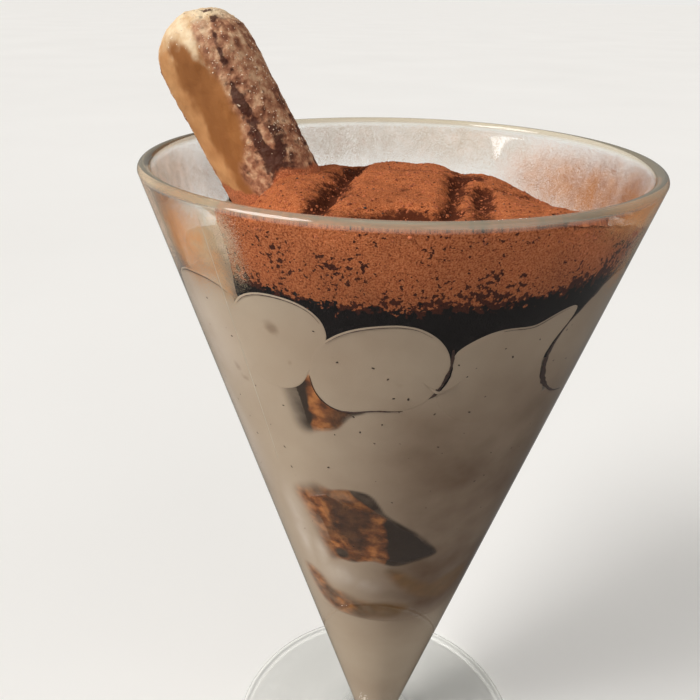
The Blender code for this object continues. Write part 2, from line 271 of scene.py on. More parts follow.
def through(points, steps, closed=False):
    """A rounded line through points of any dimension, with steps to each span (Catmull-Rom)."""
    count = len(points)
    line = []
    for i in range(count if closed else count - 1):
        near = [points[(i + k) % count] if closed else points[min(max(i + k, 0), count - 1)]
                for k in (-1, 0, 1, 2)]
        for step in range(steps):
            t = step / steps
            weights = (
                -0.5 * t + t * t - 0.5 * t**3,
                1.0 - 2.5 * t * t + 1.5 * t**3,
                0.5 * t + 2.0 * t * t - 1.5 * t**3,
                -0.5 * t * t + 0.5 * t**3,
            )
            line.append(sum((point * weight for point, weight in zip(near, weights)), points[0] * 0.0))
    if not closed:
        line.append(points[-1])
    return line


def new_tree(name, *sockets):
    """A Geometry Nodes tree with a geometry in and out, and named inputs given as (name, type)."""
    tree = bpy.data.node_groups.new(name, "GeometryNodeTree")
    tree.interface.new_socket("Geometry", in_out="OUTPUT", socket_type="NodeSocketGeometry")
    tree.interface.new_socket("Geometry", in_out="INPUT", socket_type="NodeSocketGeometry")
    for label, kind in sockets:
        tree.interface.new_socket(label, in_out="INPUT", socket_type=f"NodeSocket{kind}")
    return tree, tree.nodes.new("NodeGroupInput").outputs, tree.nodes.new("NodeGroupOutput").inputs


def grown(name, source, tree, values):
    """The mesh that a node tree makes from a source object, as a plain piece. The source is removed."""
    modifier = source.modifiers.new(tree.name, "NODES")
    modifier.node_group = tree
    for item in tree.interface.items_tree:
        if item.in_out == "INPUT" and item.name in values:
            modifier[item.identifier] = values[item.name]
    graph = bpy.context.evaluated_depsgraph_get()
    mesh = bpy.data.meshes.new_from_object(source.evaluated_get(graph))
    mesh.name = name
    source.modifiers.clear()
    bpy.data.objects.remove(source)
    piece = bpy.data.objects.new(name, mesh)
    bpy.context.scene.collection.objects.link(piece)
    return piece


def turning_tree():
    """Turns the points of an outline round Z: one row of a grid for each point."""
    tree, given, out = new_tree(
        "turned_outline", ("Points", "Int"), ("Segments", "Int"), ("Weld", "Float"), ("Finish", "Material")
    )
    around = sums(tree, "ADD", given["Segments"], 1)
    grid = add(tree, "GeometryNodeMeshGrid", {"Vertices X": given["Points"], "Vertices Y": around})
    index = add(tree, "GeometryNodeInputIndex").outputs[0]
    row = sums(tree, "FLOOR", sums(tree, "DIVIDE", index, around))
    column = sums(tree, "MODULO", index, around)
    turn = sums(tree, "MULTIPLY", sums(tree, "DIVIDE", column, given["Segments"]), math.tau)
    inputs = {"Geometry": given["Geometry"], "Index": row}
    sample = add(tree, "GeometryNodeSampleIndex", inputs, data_type="FLOAT_VECTOR")
    tree.links.new(add(tree, "GeometryNodeInputPosition").outputs[0], sample.inputs["Value"])
    outline = add(tree, "ShaderNodeSeparateXYZ", {0: sample.outputs["Value"]}).outputs
    across = sums(tree, "MULTIPLY", outline["X"], sums(tree, "COSINE", turn))
    over = sums(tree, "MULTIPLY", outline["X"], sums(tree, "SINE", turn))
    point = add(tree, "ShaderNodeCombineXYZ", {"X": across, "Y": over, "Z": outline["Z"]})
    inputs = {"Geometry": grid.outputs["Mesh"], "Position": point.outputs[0]}
    moved = add(tree, "GeometryNodeSetPosition", inputs)
    inputs = {"Geometry": moved.outputs[0], "Distance": given["Weld"]}
    welded = add(tree, "GeometryNodeMergeByDistance", inputs)
    smooth = add(tree, "GeometryNodeSetShadeSmooth", {"Geometry": welded.outputs[0]})
    return ended(tree, smooth, given, out)


def ended(tree, last, given, out):
    """The two nodes that every tree here ends in: instances made real, and the material set."""
    real = add(tree, "GeometryNodeRealizeInstances", {"Geometry": last.outputs[0]})
    done = add(tree, "GeometryNodeSetMaterial", {"Geometry": real.outputs[0], "Material": given["Finish"]})
    tree.links.new(done.outputs[0], out["Geometry"])
    return tree


CLEAR = (0.985, 0.995, 0.985, 1.0)
CLEAR_WAY = (0.98, 0.985, 0.975, 1.0)
RIM_CLOUD = 0.36
RIM_CLOUD_FROM = HEIGHT - 0.0018
RIM_CLOUD_RUN = 0.0010
# The foot is painted whitish as painted light, so that it looks as bright as a brightly lit white table.
FOOT_PAINTED_LIGHT = 0.55
FOOT_CLEAR_FROM = 0.0075
FOOT_PAINTED_LIGHT_RUN = 0.003
LONGEST_PATH = 7.0


def past(tree, value, start, run):
    """How far value is past start, in shares of run, from 0 to 1."""
    share = sums(tree, "MULTIPLY", sums(tree, "SUBTRACT", value, start), 1.0 / run)
    return add(tree, "ShaderNodeClamp", {"Value": share, "Min": 0.0, "Max": 1.0}).outputs[0]


def glass_finish():
    """Clear glass, a little cloudy in the rim's bead, and painted whitish in the foot as painted light, so
    that the foot looks brightly lit. Light reaches what stands in it straight, and a ray that has been caught
    in the wall for long leaves it."""
    material, tree, shader = new_finish("clear_glass", Roughness=0.0, IOR=1.5)
    place = add(tree, "ShaderNodeTexCoord").outputs["Object"]
    height = add(tree, "ShaderNodeSeparateXYZ", {0: place}).outputs["Z"]
    path = add(tree, "ShaderNodeLightPath").outputs
    in_bead = past(tree, height, RIM_CLOUD_FROM, RIM_CLOUD_RUN)
    unmirrored = sums(tree, "LESS_THAN", path["Glossy Depth"], 0.5)
    in_foot = sums(tree, "MULTIPLY", past(tree, height, FOOT_CLEAR_FROM, -FOOT_PAINTED_LIGHT_RUN), unmirrored)
    rim_cloud_and_foot_light = sums(
        tree, "ADD", sums(tree, "MULTIPLY", in_bead, RIM_CLOUD), sums(tree, "MULTIPLY", in_foot, FOOT_PAINTED_LIGHT)
    )
    tree.links.new(sums(tree, "SUBTRACT", 1.0, rim_cloud_and_foot_light), shader.inputs["Transmission Weight"])
    colour = mixed(tree, in_bead, CLEAR, tone(214, 202, 176))
    # Painted light: the foot is painted near-white so that it looks brightly lit, but not in its mirror
    # images.
    colour_with(tree, shader, mixed(tree, in_foot, colour, tone(250, 250, 247)))
    relief(tree, shader, grain(tree, 90.0, detail=1.0, stretch=(1.0, 1.0, 0.35)), 0.0002, 0.35)
    caught = sums(tree, "GREATER_THAN", path["Ray Depth"], LONGEST_PATH)
    straight = sums(tree, "MAXIMUM", path["Is Shadow Ray"], caught)
    clear_way = add(tree, "ShaderNodeBsdfTransparent", {"Color": CLEAR_WAY})
    mix = add(tree, "ShaderNodeMixShader", {0: straight, 1: shader.outputs[0], 2: clear_way.outputs[0]})
    tree.links.new(mix.outputs[0], tree.nodes["Material Output"].inputs["Surface"])
    return material


def make_glass():
    outline = glass_outline()
    mesh = bpy.data.meshes.new("glass_outline")
    edges = [(i, i + 1) for i in range(len(outline) - 1)]
    mesh.from_pydata([(radius, 0.0, z) for radius, z in outline], edges, [])
    values = {"Points": len(outline), "Segments": 256, "Weld": 0.000002, "Finish": glass_finish()}
    glass = grown("footed_glass", new_piece("glass_outline", mesh, smooth=False), turning_tree(), values)
    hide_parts("glass")
    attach(glass, "root")


make_glass()

# ---------------------------------------------------------------- spooned cream dollops
# A ring of egg-shaped spoonfuls of mascarpone cream, set round the wall one after another. Each is
# pressed flat on the glass, with a small round edge, and pushed against those laid before it.

# How far each piece reaches into the wall. Each dollop reaches a little further than the one laid after it.
SKIN_CREAM = 0.00005
SKIN_DOLLOP = 0.00006
SKIN_STEP = 0.000002
DOLLOP_EDGE = 0.00014
DOLLOP_OVERLAP = 0.00060
DOLLOP_DEPTH = 0.0250
DOLLOP_WIDEST = 0.0055
DOLLOP_BULGE = 0.08

# Angle and height of the middle, and how far the rim of the flat spot is from it, in millimetres, to
# the right, then every 45 degrees anticlockwise. In the order in which they were laid.
DOLLOPS = {
    "dollop_front": (-3.7, 0.1494, (13.4, 12.2, 9.5, 9.4, 11.6, 13.8, 10.1, 12.1)),
    "dollop_front_left": (-25.0, 0.1515, (7.4, 10.9, 11.2, 11.8, 11.2, 12.8, 9.6, 6.2)),
    "dollop_right": (58.0, 0.1490, (13.0, 14.0, 14.8, 13.0, 13.4, 12.8, 13.7, 13.5)),
    "dollop_front_right": (32.5, 0.1472, (15.0, 16.5, 10.3, 13.3, 16.6, 15.0, 11.5, 14.0)),
    "dollop_left": (-49.0, 0.1500, (11.5, 13.8, 12.4, 13.0, 12.0, 11.0, 12.0, 11.0)),
    "dollop_far_left": (-82.0, 0.1492, (14.2, 13.2, 12.0, 13.4, 14.0, 12.6, 11.8, 13.0)),
    "dollop_far_right": (95.0, 0.1502, (15.0, 11.6, 9.0, 11.2, 15.2, 13.8, 12.0, 13.6)),
    "dollop_back_left": (-118.0, 0.1506, (14.6, 12.6, 11.6, 13.4, 14.4, 13.0, 11.2, 12.8)),
    "dollop_back_right": (133.0, 0.1490, (14.4, 11.6, 9.6, 11.4, 14.8, 13.2, 12.4, 13.0)),
    "dollop_back": (170.0, 0.1500, (14.8, 12.8, 11.3, 13.6, 15.0, 12.8, 11.8, 13.4)),
    "dollop_back_far_left": (-154.0, 0.1494, (14.0, 13.4, 11.9, 13.0, 14.2, 12.6, 12.2, 12.6)),
}
# Dollops that stand a little apart, with cocoa in the crevice between them, and how wide it is.
CREVICES = {
    ("dollop_front_right", "dollop_front"): 0.00022,
    ("dollop_front_right", "dollop_right"): 0.00020,
}
MM = 0.001


def at_angle(degrees, radius, z):
    """Points at an angle round the glass, as an array with a row for each."""
    turn = np.radians(degrees)
    return np.stack(np.broadcast_arrays(radius * np.sin(turn), -radius * np.cos(turn), z), axis=-1)


def angles_of(points):
    """The angle round the glass of each point, in degrees."""
    return np.degrees(np.arctan2(points[:, 0], -points[:, 1]))


def turned_by(degrees):
    """An angle as -180 to 180."""
    return (degrees + 180.0) % 360.0 - 180.0


def smooth_step(value):
    value = np.clip(value, 0.0, 1.0)
    return value * value * (3.0 - 2.0 * value)


def reach_of(radii, turn):
    """The rounded outline's distance from its middle, for directions given in radians."""
    rounded = np.array([point[0] for point in through([Vector((r, 0.0)) for r in radii], 16, closed=True)])
    place = (turn / math.tau) % 1.0 * len(rounded)
    low = np.floor(place).astype(int)
    share = place - low
    return rounded[low % len(rounded)] * (1.0 - share) + rounded[(low + 1) % len(rounded)] * share


def inside_dollop(name, degrees, z):
    """How far points on the wall lie inside a dollop's flat spot, in metres; less than 0 is outside."""
    angle, height, radii = DOLLOPS[name]
    across = np.radians(turned_by(degrees - angle)) * wall_radius(height)
    above = z - height
    return reach_of(radii, np.arctan2(above, across)) * MM - np.hypot(across, above)


def noise_at(points, size, seed=0.0, octaves=3):
    """Fractal noise of about -1 to 1 at each point; size is that of its largest lumps, in metres."""
    shift = Vector((seed, -seed, 2.0 * seed))
    return np.array([noise.fractal(Vector(p) / size + shift, 0.9, 2.0, octaves) for p in points])


def closed_mesh(name, rings):
    """A closed mesh through rings that run anticlockwise seen from above, from the bottom's middle up."""
    count = len(rings[0])
    points = np.concatenate([rings[0].mean(0)[None], *rings, rings[-1].mean(0)[None]])
    here = np.arange(count)
    after = (here + 1) % count
    starts = range(1, 1 + (len(rings) - 1) * count, count)
    last, end = len(points) - 1, 1 + (len(rings) - 1) * count
    faces = np.concatenate([between(count, start, start + count) for start in starts]).tolist()
    faces += np.stack([np.zeros(count, int), 1 + after, 1 + here], axis=1).tolist()
    faces += np.stack([np.full(count, last), end + here, end + after], axis=1).tolist()
    return mesh_from(name, points, faces)


def between(count, low, high):
    """The faces between two rings of count points, given the number of each ring's first point."""
    here = np.arange(count)
    after = (here + 1) % count
    return np.stack([low + here, low + after, high + after, high + here], axis=1)


def mesh_from(name, points, faces):
    mesh = bpy.data.meshes.new(name)
    mesh.from_pydata(points.tolist(), [], faces)
    mesh.update()
    return mesh


def store(mesh, label, values):
    """Keeps one number for each point of the mesh, for its material or its scattered grains."""
    mesh.attributes.new(label, "FLOAT", "POINT").data.foreach_set("value", np.asarray(values, np.float32))


def points_of(mesh):
    flat = np.empty(len(mesh.vertices) * 3, np.float32)
    mesh.vertices.foreach_get("co", flat)
    return flat.reshape(-1, 3).astype(float)


def place_points(mesh, points):
    mesh.vertices.foreach_set("co", points.ravel())
    mesh.update()


def mesh_normals(mesh):
    flat = np.empty(len(mesh.vertices) * 3, np.float32)
    mesh.vertex_normals.foreach_get("vector", flat)
    return flat.reshape(-1, 3).astype(float)


def stored(tree, label):
    """The number that store kept for each point."""
    return add(tree, "ShaderNodeAttribute", attribute_name=label).outputs["Fac"]


def crumb_colour(tree):
    """Wet sponge: orange-brown crumb with dark streaks, and dark where its stored darkness is high: coffee
    standing in it, and painted shade.
    """
    crumb_tones = (0.34, tone(84, 46, 22)), (0.50, tone(134, 78, 38)), (0.64, tone(176, 112, 58))
    crumb = ramp(tree, grain(tree, 400.0, 5.0), *crumb_tones)
    streaks = ramp(tree, grain(tree, 120.0, 5.0, (1.0, 1.0, 0.5)), (0.45, 0.0), (0.60, 0.8))
    blot = sums(tree, "ADD", stored(tree, "soak_and_shade"), sums(tree, "MULTIPLY", grain(tree, 210.0, 4.0), 0.6))
    # Coffee darkens the crumb, and painted shade darkens it where the stored value marks a shadowed gap.
    coffee_and_shade = sums(tree, "MAXIMUM", ramp(tree, blot, (0.50, 0.0), (1.0, 1.0)), streaks)
    return mixed(tree, coffee_and_shade, crumb, tone(52, 38, 28))


def cream_finish():
    """Mascarpone cream: smooth and beige-grey. Coffee stains it, and painted shade browns it towards the
    lower right.
    Its pale patches are smeared cream and, near the left edge, painted reflections. Soaked crumb shows where
    it is thin.
    """
    material, tree, shader = new_finish("mascarpone_cream", Roughness=0.45, Specular_IOR_Level=0.35)
    cream = ramp(tree, grain(tree, 45.0, 3.0), (0.3, tone(168, 149, 129)), (0.7, tone(181, 164, 144)))
    uneven = ramp(tree, grain(tree, 75.0, 4.0), (0.3, 0.65), (0.7, 1.0))
    # Painted shade with real coffee stain: the cream is browned towards the lower right, where less light
    # falls.
    cream = mixed(tree, sums(tree, "MULTIPLY", stored(tree, "stain_and_shade"), uneven), cream, tone(90, 60, 34))
    pale_mottle = ramp(tree, grain(tree, 110.0, 3.0, (1.0, 1.0, 0.6)), (0.38, 0.35), (0.60, 1.0))
    # Pale patches: smeared cream, and near the left edge painted reflections of light on the glass.
    cream = mixed(tree, sums(tree, "MULTIPLY", stored(tree, "pale"), pale_mottle), cream, tone(222, 210, 202))
    crumb = mixed(tree, stored(tree, "olive"), crumb_colour(tree), tone(112, 82, 44))
    thin = ramp(tree, grain(tree, 160.0, 4.0), (0.35, 0.65), (0.6, 1.0))
    veil = sums(tree, "MULTIPLY", stored(tree, "film"), thin)
    colour_with(tree, shader, mixed(tree, veil, cream, crumb))
    relief(tree, shader, grain(tree, 350.0, 3.0), 0.00006, 0.4)
    return material


CREAM = cream_finish()
# Spots where coffee or a bubble darkens the cream: degrees, millimetres up, half sizes, and how much.
SPOTS = (
    (-27.5, 155.2, 1.9, 1.4, 0.60), (-45.0, 141.8, 1.2, 1.0, 0.60), (-43.0, 139.6, 1.6, 0.6, 0.45),
    (2.4, 146.0, 1.5, 0.5, 0.45), (-24.5, 148.0, 0.8, 0.5, 0.35), (-9.5, 131.0, 0.8, 0.6, 0.35),
)
# Places where the cream is painted paler: smeared cream, and near the left edge painted reflections of
# bright light on the glass: the same, and how pale.
PALE_AND_REFLECTIONS = (
    (-40.0, 97.0, 5.0, 9.0, 0.60), (-31.0, 90.5, 4.0, 5.0, 0.50), (-22.0, 83.5, 9.0, 3.4, 0.55),
    (-6.0, 81.0, 9.0, 3.0, 0.40), (-58.0, 148.0, 14.0, 13.0, 0.40), (-62.0, 120.0, 10.0, 25.0, 0.35),
)


def away_from(place, degrees, z):
    """How far points on the wall are from a place's middle, squared, in shares of its half sizes."""
    angle, height, half_angle, half_height = place
    return (turned_by(degrees - angle) / half_angle) ** 2 + ((z / MM - height) / half_height) ** 2


def stain_and_shade_of(degrees, z):
    """How brown the cream is painted, from 0 to 1. Towards the lower right, where the sponge lies, it is
    partly coffee stain and partly painted shade, darker where less light falls. The spots are coffee and
    bubbles.
    """
    # Partly coffee, partly painted shade: browner to the right and lower down, away from the key light.
    right = smooth_step((degrees + 42.0) / 72.0) * smooth_step((165.0 - degrees) / 60.0)
    low = smooth_step((0.158 - z) / 0.032)
    lowest = smooth_step((z - 0.062) / 0.008) * smooth_step((0.094 - z) / 0.016)
    stain_and_shade = 0.05 + 0.82 * right * (0.30 + 0.70 * low) * smooth_step((z - 0.050) / 0.030)
    stain_and_shade += 0.20 * lowest * right
    for *place, most in SPOTS:
        stain_and_shade = np.maximum(stain_and_shade, most * np.exp(-(away_from(place, degrees, z) ** 2)))
    return stain_and_shade


def paleness_of(degrees, z):
    return np.maximum.reduce([most * np.exp(-away_from(place, degrees, z)) for *place, most in PALE_AND_REFLECTIONS])


OLIVE_BELOW, MOST_OLIVE = 0.089, 0.85


def finish_cream(name, mesh, node, film=None, soak_and_shade=None):
    """Paints cream, and puts it in its node's place. Film is how far the sponge behind it shows through
    thin cream, and the last argument how dark that sponge is painted, from coffee standing in it and from
    painted shade. Thick cream has neither."""
    points = points_of(mesh)
    degrees, none = angles_of(points), np.zeros(len(points))
    stain_and_shade = stain_and_shade_of(degrees, points[:, 2])
    store(mesh, "film", none if film is None else film)
    store(mesh, "soak_and_shade", none if soak_and_shade is None else soak_and_shade)
    store(mesh, "stain_and_shade", stain_and_shade)
    store(mesh, "olive", np.where(points[:, 2] < OLIVE_BELOW, np.minimum(stain_and_shade, MOST_OLIVE), 0.0))
    store(mesh, "pale", paleness_of(degrees, points[:, 2]))
    piece = new_piece(name, mesh, CREAM)
    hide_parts(node)
    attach(piece, "root")


def make_dollop(name, laid):
    angle, height, radii = DOLLOPS[name]
    skin = SKIN_DOLLOP + SKIN_STEP * (len(DOLLOPS) - len(laid))
    turn = np.linspace(0.0, math.tau, 144, endpoint=False)
    reach = reach_of(radii, turn) * MM
    for other in laid:
        apart = turned_by(DOLLOPS[other][0] - angle)
        if abs(apart) < 50.0:
            shares = np.linspace(0.05, 1.0, 120)[:, None]
            across, above = shares * reach * np.cos(turn), shares * reach * np.sin(turn)
            degrees = angle + np.degrees(across / wall_radius(height))
            gap = CREVICES.get((name, other), -DOLLOP_OVERLAP)
            hit = inside_dollop(other, degrees, height + above) > -gap
            first = np.where(hit.any(0), hit.argmax(0), len(shares)) / len(shares)
            reach = reach * np.clip(first, 0.08, 1.0)
    uncut = reach
    for _ in range(7):
        reach = np.minimum(uncut, (np.roll(reach, 1) + 2.0 * reach + np.roll(reach, -1)) / 4.0)
    rings = [((reach - DOLLOP_EDGE) * share, 0.0) for share in np.linspace(0.08, 0.94, 12)]
    rings += [(reach - DOLLOP_EDGE * (1.0 - math.sin(bend)), DOLLOP_EDGE * (1.0 - math.cos(bend)))
              for bend in np.linspace(0.0, math.pi / 2.0, 6)]
    start = DOLLOP_BULGE * (DOLLOP_EDGE / DOLLOP_WIDEST - 1.0) ** 2
    for depth in np.linspace(DOLLOP_EDGE, DOLLOP_DEPTH, 26)[1:]:
        if depth < DOLLOP_WIDEST:
            share = 1.0 + DOLLOP_BULGE * (1.0 - (depth / DOLLOP_WIDEST - 1.0) ** 2 - start)
        else:
            inwards = (depth - DOLLOP_WIDEST) / (DOLLOP_DEPTH - DOLLOP_WIDEST)
            share = (1.0 + DOLLOP_BULGE) * math.sqrt(max(0.002, 1.0 - inwards * inwards))
        rings.append((reach * share, depth))
    loops = []
    for radius, depth in rings:
        across, z = radius * np.cos(turn), height + radius * np.sin(turn)
        degrees = angle + np.degrees(across / (wall_radius(height) - 0.5 * depth))
        loops.append(at_angle(degrees, wall_radius(z, skin) - depth, z))
    mesh = closed_mesh(f"cream_{name}", loops)
    points = points_of(mesh)
    flat = np.hypot(points[:, 0], points[:, 1]) > wall_radius(points[:, 2]) - 0.0003
    uneven = noise_at(points, 0.007, seed=angle) * np.where(flat, 0.0, 0.0004)
    points += mesh_normals(mesh) * uneven[:, None]
    place_points(mesh, points)
    finish_cream(f"cream_{name}", mesh, name)


for position, dollop in enumerate(DOLLOPS):
    make_dollop(dollop, list(DOLLOPS)[:position])

# ---------------------------------------------------------------- cream in the tip and the tall layer
# The same cream, spooned in loose and settled on the glass. Where a soaked sponge finger is pressed to
# the glass the cream leaves it bare, and where it covers one thinly the sponge shows through as a veil.

TIP_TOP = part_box("cream_tip")[1].z
CREAM_TOP_AT_WALL = 0.1486
CREAM_TOP_RISE = 0.0172
CREVICE_ANGLE, CREVICE_HALF, CREVICE_DEPTH = 12.5, 9.0, 0.0050

# Bare places in the cream, as outlines on the wall: degrees round the glass and millimetres of height.
BARE = {
    "middle": (
        (-30.5, 109.6), (-24.8, 112.2), (-15.2, 114.9), (-8.0, 115.1), (-4.7, 113.9), (-2.4, 111.5),
        (0.2, 108.6), (5.8, 105.6), (13.8, 101.6), (20.0, 97.6), (24.4, 94.5), (24.0, 93.1),
        (14.2, 91.4), (6.0, 90.4), (-3.8, 91.9), (-13.1, 90.6), (-17.4, 90.5), (-21.7, 91.4),
        (-24.2, 94.9), (-26.0, 101.5), (-28.4, 106.6),
    ),
    "upper": (
        (-22.0, 145.5), (-24.5, 142.7), (-24.2, 139.2), (-23.6, 134.7), (-22.9, 132.8), (-18.4, 132.4),
        (-14.5, 133.5), (-12.3, 135.4), (-10.0, 137.4), (-6.4, 139.1), (-10.0, 142.0), (-16.0, 144.5),
    ),
}
# Thin places, where sponge shows through the cream, with how strongly it shows.
VEILED = {
    "lower_left": (0.95, (
        (-46.0, 80.0), (-42.0, 71.5), (-33.0, 67.9), (-19.0, 67.0), (-4.0, 67.5), (9.4, 68.6),
        (15.9, 72.2), (6.2, 74.0), (-4.0, 73.6), (-14.0, 74.0), (-21.0, 75.2), (-31.0, 75.8), (-38.0, 80.0),
    )),
    "lower_right": (0.9, (
        (4.4, 87.8), (10.4, 82.3), (19.8, 78.4), (29.5, 75.8), (41.3, 74.0), (48.0, 75.8), (54.0, 80.0),
        (47.4, 82.0), (38.2, 81.6), (28.5, 79.8), (18.0, 83.0), (9.6, 86.9),
    )),
}
BARE_EDGE = 0.0008
BARE_EDGE_MORE_LEFT = 0.0034
VEILED_EDGE = 0.0014
DOLLOP_BED = 0.0030


def cream_top(degrees, radius):
    """Height of the cream's top inside the ring of dollops, lower in the crevice between two of them."""
    share = radius / wall_radius(CREAM_TOP_AT_WALL)
    height = CREAM_TOP_AT_WALL + CREAM_TOP_RISE * (1.0 - share * share)
    away = np.abs(turned_by(degrees - CREVICE_ANGLE))
    return height - CREVICE_DEPTH * smooth_step((share - 0.72) / 0.2) * smooth_step(1.0 - away / CREVICE_HALF)


def inside_outline(outline, degrees, z):
    """How far points on the wall lie inside a closed rounded outline, in metres; less than 0 is outside."""
    corners = [Vector(point) for point in outline]
    line = np.array([tuple(point) for point in through(corners, 5, closed=True)])
    middle = line[:, 1].mean() * MM
    scale = math.radians(1.0) * wall_radius(middle)
    a = np.stack([line[:, 0] * scale, line[:, 1] * MM], axis=1)
    b = np.roll(a, -1, axis=0)
    far = np.full(len(degrees), -1.0)
    reach = 0.012
    x, y = turned_by(degrees) * scale, z
    near = (x > a[:, 0].min() - reach) & (x < a[:, 0].max() + reach)
    near &= (y > a[:, 1].min() - reach) & (y < a[:, 1].max() + reach)
    point = np.stack([x[near], y[near]], axis=1)[:, None, :]
    run = b - a
    share = np.clip(((point - a) * run).sum(-1) / (run * run).sum(-1), 0.0, 1.0)
    distance = np.linalg.norm(point - a - share[..., None] * run, axis=-1).min(1)
    px, py = point[:, :, 0], point[:, :, 1]
    crosses = (a[:, 1] > py) != (b[:, 1] > py)
    rise = np.where(np.abs(run[:, 1]) < 1e-12, 1e-12, run[:, 1])
    left = px < a[:, 0] + run[:, 0] * (py - a[:, 1]) / rise
    within = (crosses & left).sum(1) % 2 == 1
    far[near] = np.where(within, distance, -distance)
    return far


def soak_and_shade_of(points, degrees):
    """How dark the sponge behind the glass is painted, from 0 to 1: where coffee stands in it, and painted
    shade in the hollow at the right of the middle bare place and in the gap at the left of the upper one.
    """
    height = points[:, 2]
    wobble = noise_at(points, 0.005, seed=3.0)
    # Partly coffee, partly painted shade: at the middle bare place's right, the sponge is painted dark for a
    # hollow.
    right = smooth_step((degrees + 2.0 + 3.0 * wobble) / 6.0)
    upper_edge = smooth_step((height - 0.1118 + 0.00050 * (degrees + 8.0)) / 0.003 + 0.4)
    upper_edge *= smooth_step((degrees + 15.0) / 6.0)
    blotch = np.exp(-(((degrees + 19.0) / 4.0) ** 2 + ((height - 0.0925) / 0.0020) ** 2))
    middle = np.maximum.reduce([right, upper_edge, blotch]) * smooth_step((height - 0.086) / 0.002)
    # Painted shadow in the gap at the left of the upper bare place.
    shadow = smooth_step((-20.3 - degrees + 1.5 * wobble) / 2.5)
    upper_rim = smooth_step((degrees + 13.0) / 4.0) * 0.7
    return np.where(height > 0.125, np.maximum(shadow, upper_rim), middle)


def make_cream_tip():
    turn = np.linspace(-180.0, 180.0, 180, endpoint=False)
    low = CAVITY_FLOOR + 0.00005
    loops = [at_angle(turn, 0.5 * wall_radius(low + CAVITY_ROUNDING), low)]
    for z in np.concatenate([[low + 0.0012], np.linspace(low + 0.003, TIP_TOP, 40), [TIP_TOP + 0.0003]]):
        into = SKIN_CREAM + (0.000006 if z < TIP_TOP else 0.0 if z == TIP_TOP else -0.00001)
        loops.append(at_angle(turn, wall_radius(z, into), z))
    for share in (0.99, 0.9, 0.5):
        loops.append(at_angle(turn, share * wall_radius(TIP_TOP), TIP_TOP + 0.0003))
    finish_cream("cream_in_tip", closed_mesh("cream_in_tip", loops), "cream_tip")


def make_cream_layer():
    turn = np.linspace(-180.0, 180.0, 480, endpoint=False)
    bottom = TIP_TOP - 0.0002
    loops = [at_angle(turn, wall_radius(bottom) * share, bottom) for share in (0.3, 0.9, 0.99)]
    veil = [np.zeros(len(turn))] * len(loops)
    top = cream_top(turn, wall_radius(CREAM_TOP_AT_WALL, SKIN_CREAM))
    bare_edge = BARE_EDGE + BARE_EDGE_MORE_LEFT * smooth_step((-18.0 - turn) / 8.0)
    for share in np.linspace(0.0, 1.0, 180):
        z = bottom + (top - bottom) * share
        recess = np.zeros(len(turn))
        for name in DOLLOPS:
            deep = inside_dollop(name, turn, z)
            recess = np.maximum(recess, DOLLOP_BED * smooth_step((deep - 0.0008) / 0.0011))
        film = np.zeros(len(turn))
        for outline in BARE.values():
            deep = inside_outline(outline, turn, z)
            film = np.maximum(film, smooth_step(1.0 + deep / bare_edge))
        for strength, outline in VEILED.values():
            deep = inside_outline(outline, turn, z)
            film = np.maximum(film, strength * smooth_step(0.7 + 0.45 * deep / VEILED_EDGE))
        loops.append(at_angle(turn, wall_radius(z, SKIN_CREAM) - recess, z))
        veil.append(film)
    for share in (0.99, 0.93, 0.8, 0.6, 0.4, 0.2):
        radius = wall_radius(CREAM_TOP_AT_WALL) * share
        loops.append(at_angle(turn, radius, cream_top(turn, radius)))
        veil.append(np.zeros(len(turn)))
    mesh = closed_mesh("cream_tall_layer", loops)
    points, film = points_of(mesh), np.concatenate([[0.0], *veil, [0.0]])
    finish_cream("cream_tall_layer", mesh, "cream_layer", film, soak_and_shade_of(points, angles_of(points)))


make_cream_tip()
make_cream_layer()

# ---------------------------------------------------------------- soaked sponge fingers
# Four sponge fingers dipped in coffee and laid across the glass, soft and squeezed flat where they meet
# the wall. The open crumb is orange-brown, with nearly black streaks where the coffee stands.

SKIN_SOAKED = 0.000055
SUNK_BEHIND_CREAM = 0.0002
SOAKED = {
    "soaked_biscuit_lower_left": (
        (-0.0096, -0.0340, 0.0768), (-0.0090, 0.0330, 0.0790), (0.0, 0.0, -1.0), 0.0205, 0.0175
    ),
    "soaked_biscuit_lower_right": (
        (0.0142, -0.0330, 0.0790), (0.0136, 0.0320, 0.0800), (-0.4, 0.0, -1.0), 0.0215, 0.0135
    ),
    "soaked_biscuit_middle": (
        (-0.0290, -0.0170, 0.1150), (0.0130, -0.0130, 0.0940), (0.5, 0.0, 1.0), 0.0240, 0.0140
    ),
    "soaked_biscuit_upper": (
        (-0.0150, -0.0470, 0.1385), (0.0230, 0.0240, 0.1370), (0.0, 0.0, -1.0), 0.0190, 0.0140
    ),
}


def finger_rings(length, width, thickness, sides, stations):
    """Rings of a sponge finger along +Z from its foot, flat below (-Y) and domed above (+Y)."""
    around = np.linspace(0.0, math.tau, sides, endpoint=False)
    across, over = np.cos(around), np.sin(around)
    roundness = np.where(over < 0.0, 0.77, 0.92)
    rings = []
    for station in range(stations):
        along = -math.cos(math.pi * (station + 0.35) / (stations - 0.3))
        edge = max(0.0, 1.0 - (1.0 - abs(along)) * length / width)
        taper_width = math.sqrt(max(0.004, 1.0 - edge**2.2))
        taper_thickness = math.sqrt(max(0.01, 1.0 - edge**4))
        u = width / 2.0 * taper_width * np.sign(across) * np.abs(across) ** 0.77
        v = thickness / 2.0 * taper_thickness * np.sign(over) * np.abs(over) ** roundness
        rings.append(np.stack([u, v, np.full(sides, length / 2.0 * (1.0 + along))], axis=1))
    return rings


def finger_axes(foot, tip, dome_towards):
    """Columns across, dome and along of a finger, as a matrix for points in its own frame."""
    along = (Vector(tip) - Vector(foot)).normalized()
    dome = Vector(dome_towards)
    dome = (dome - along * dome.dot(along)).normalized()
    return np.array((dome.cross(along), dome, along)).T


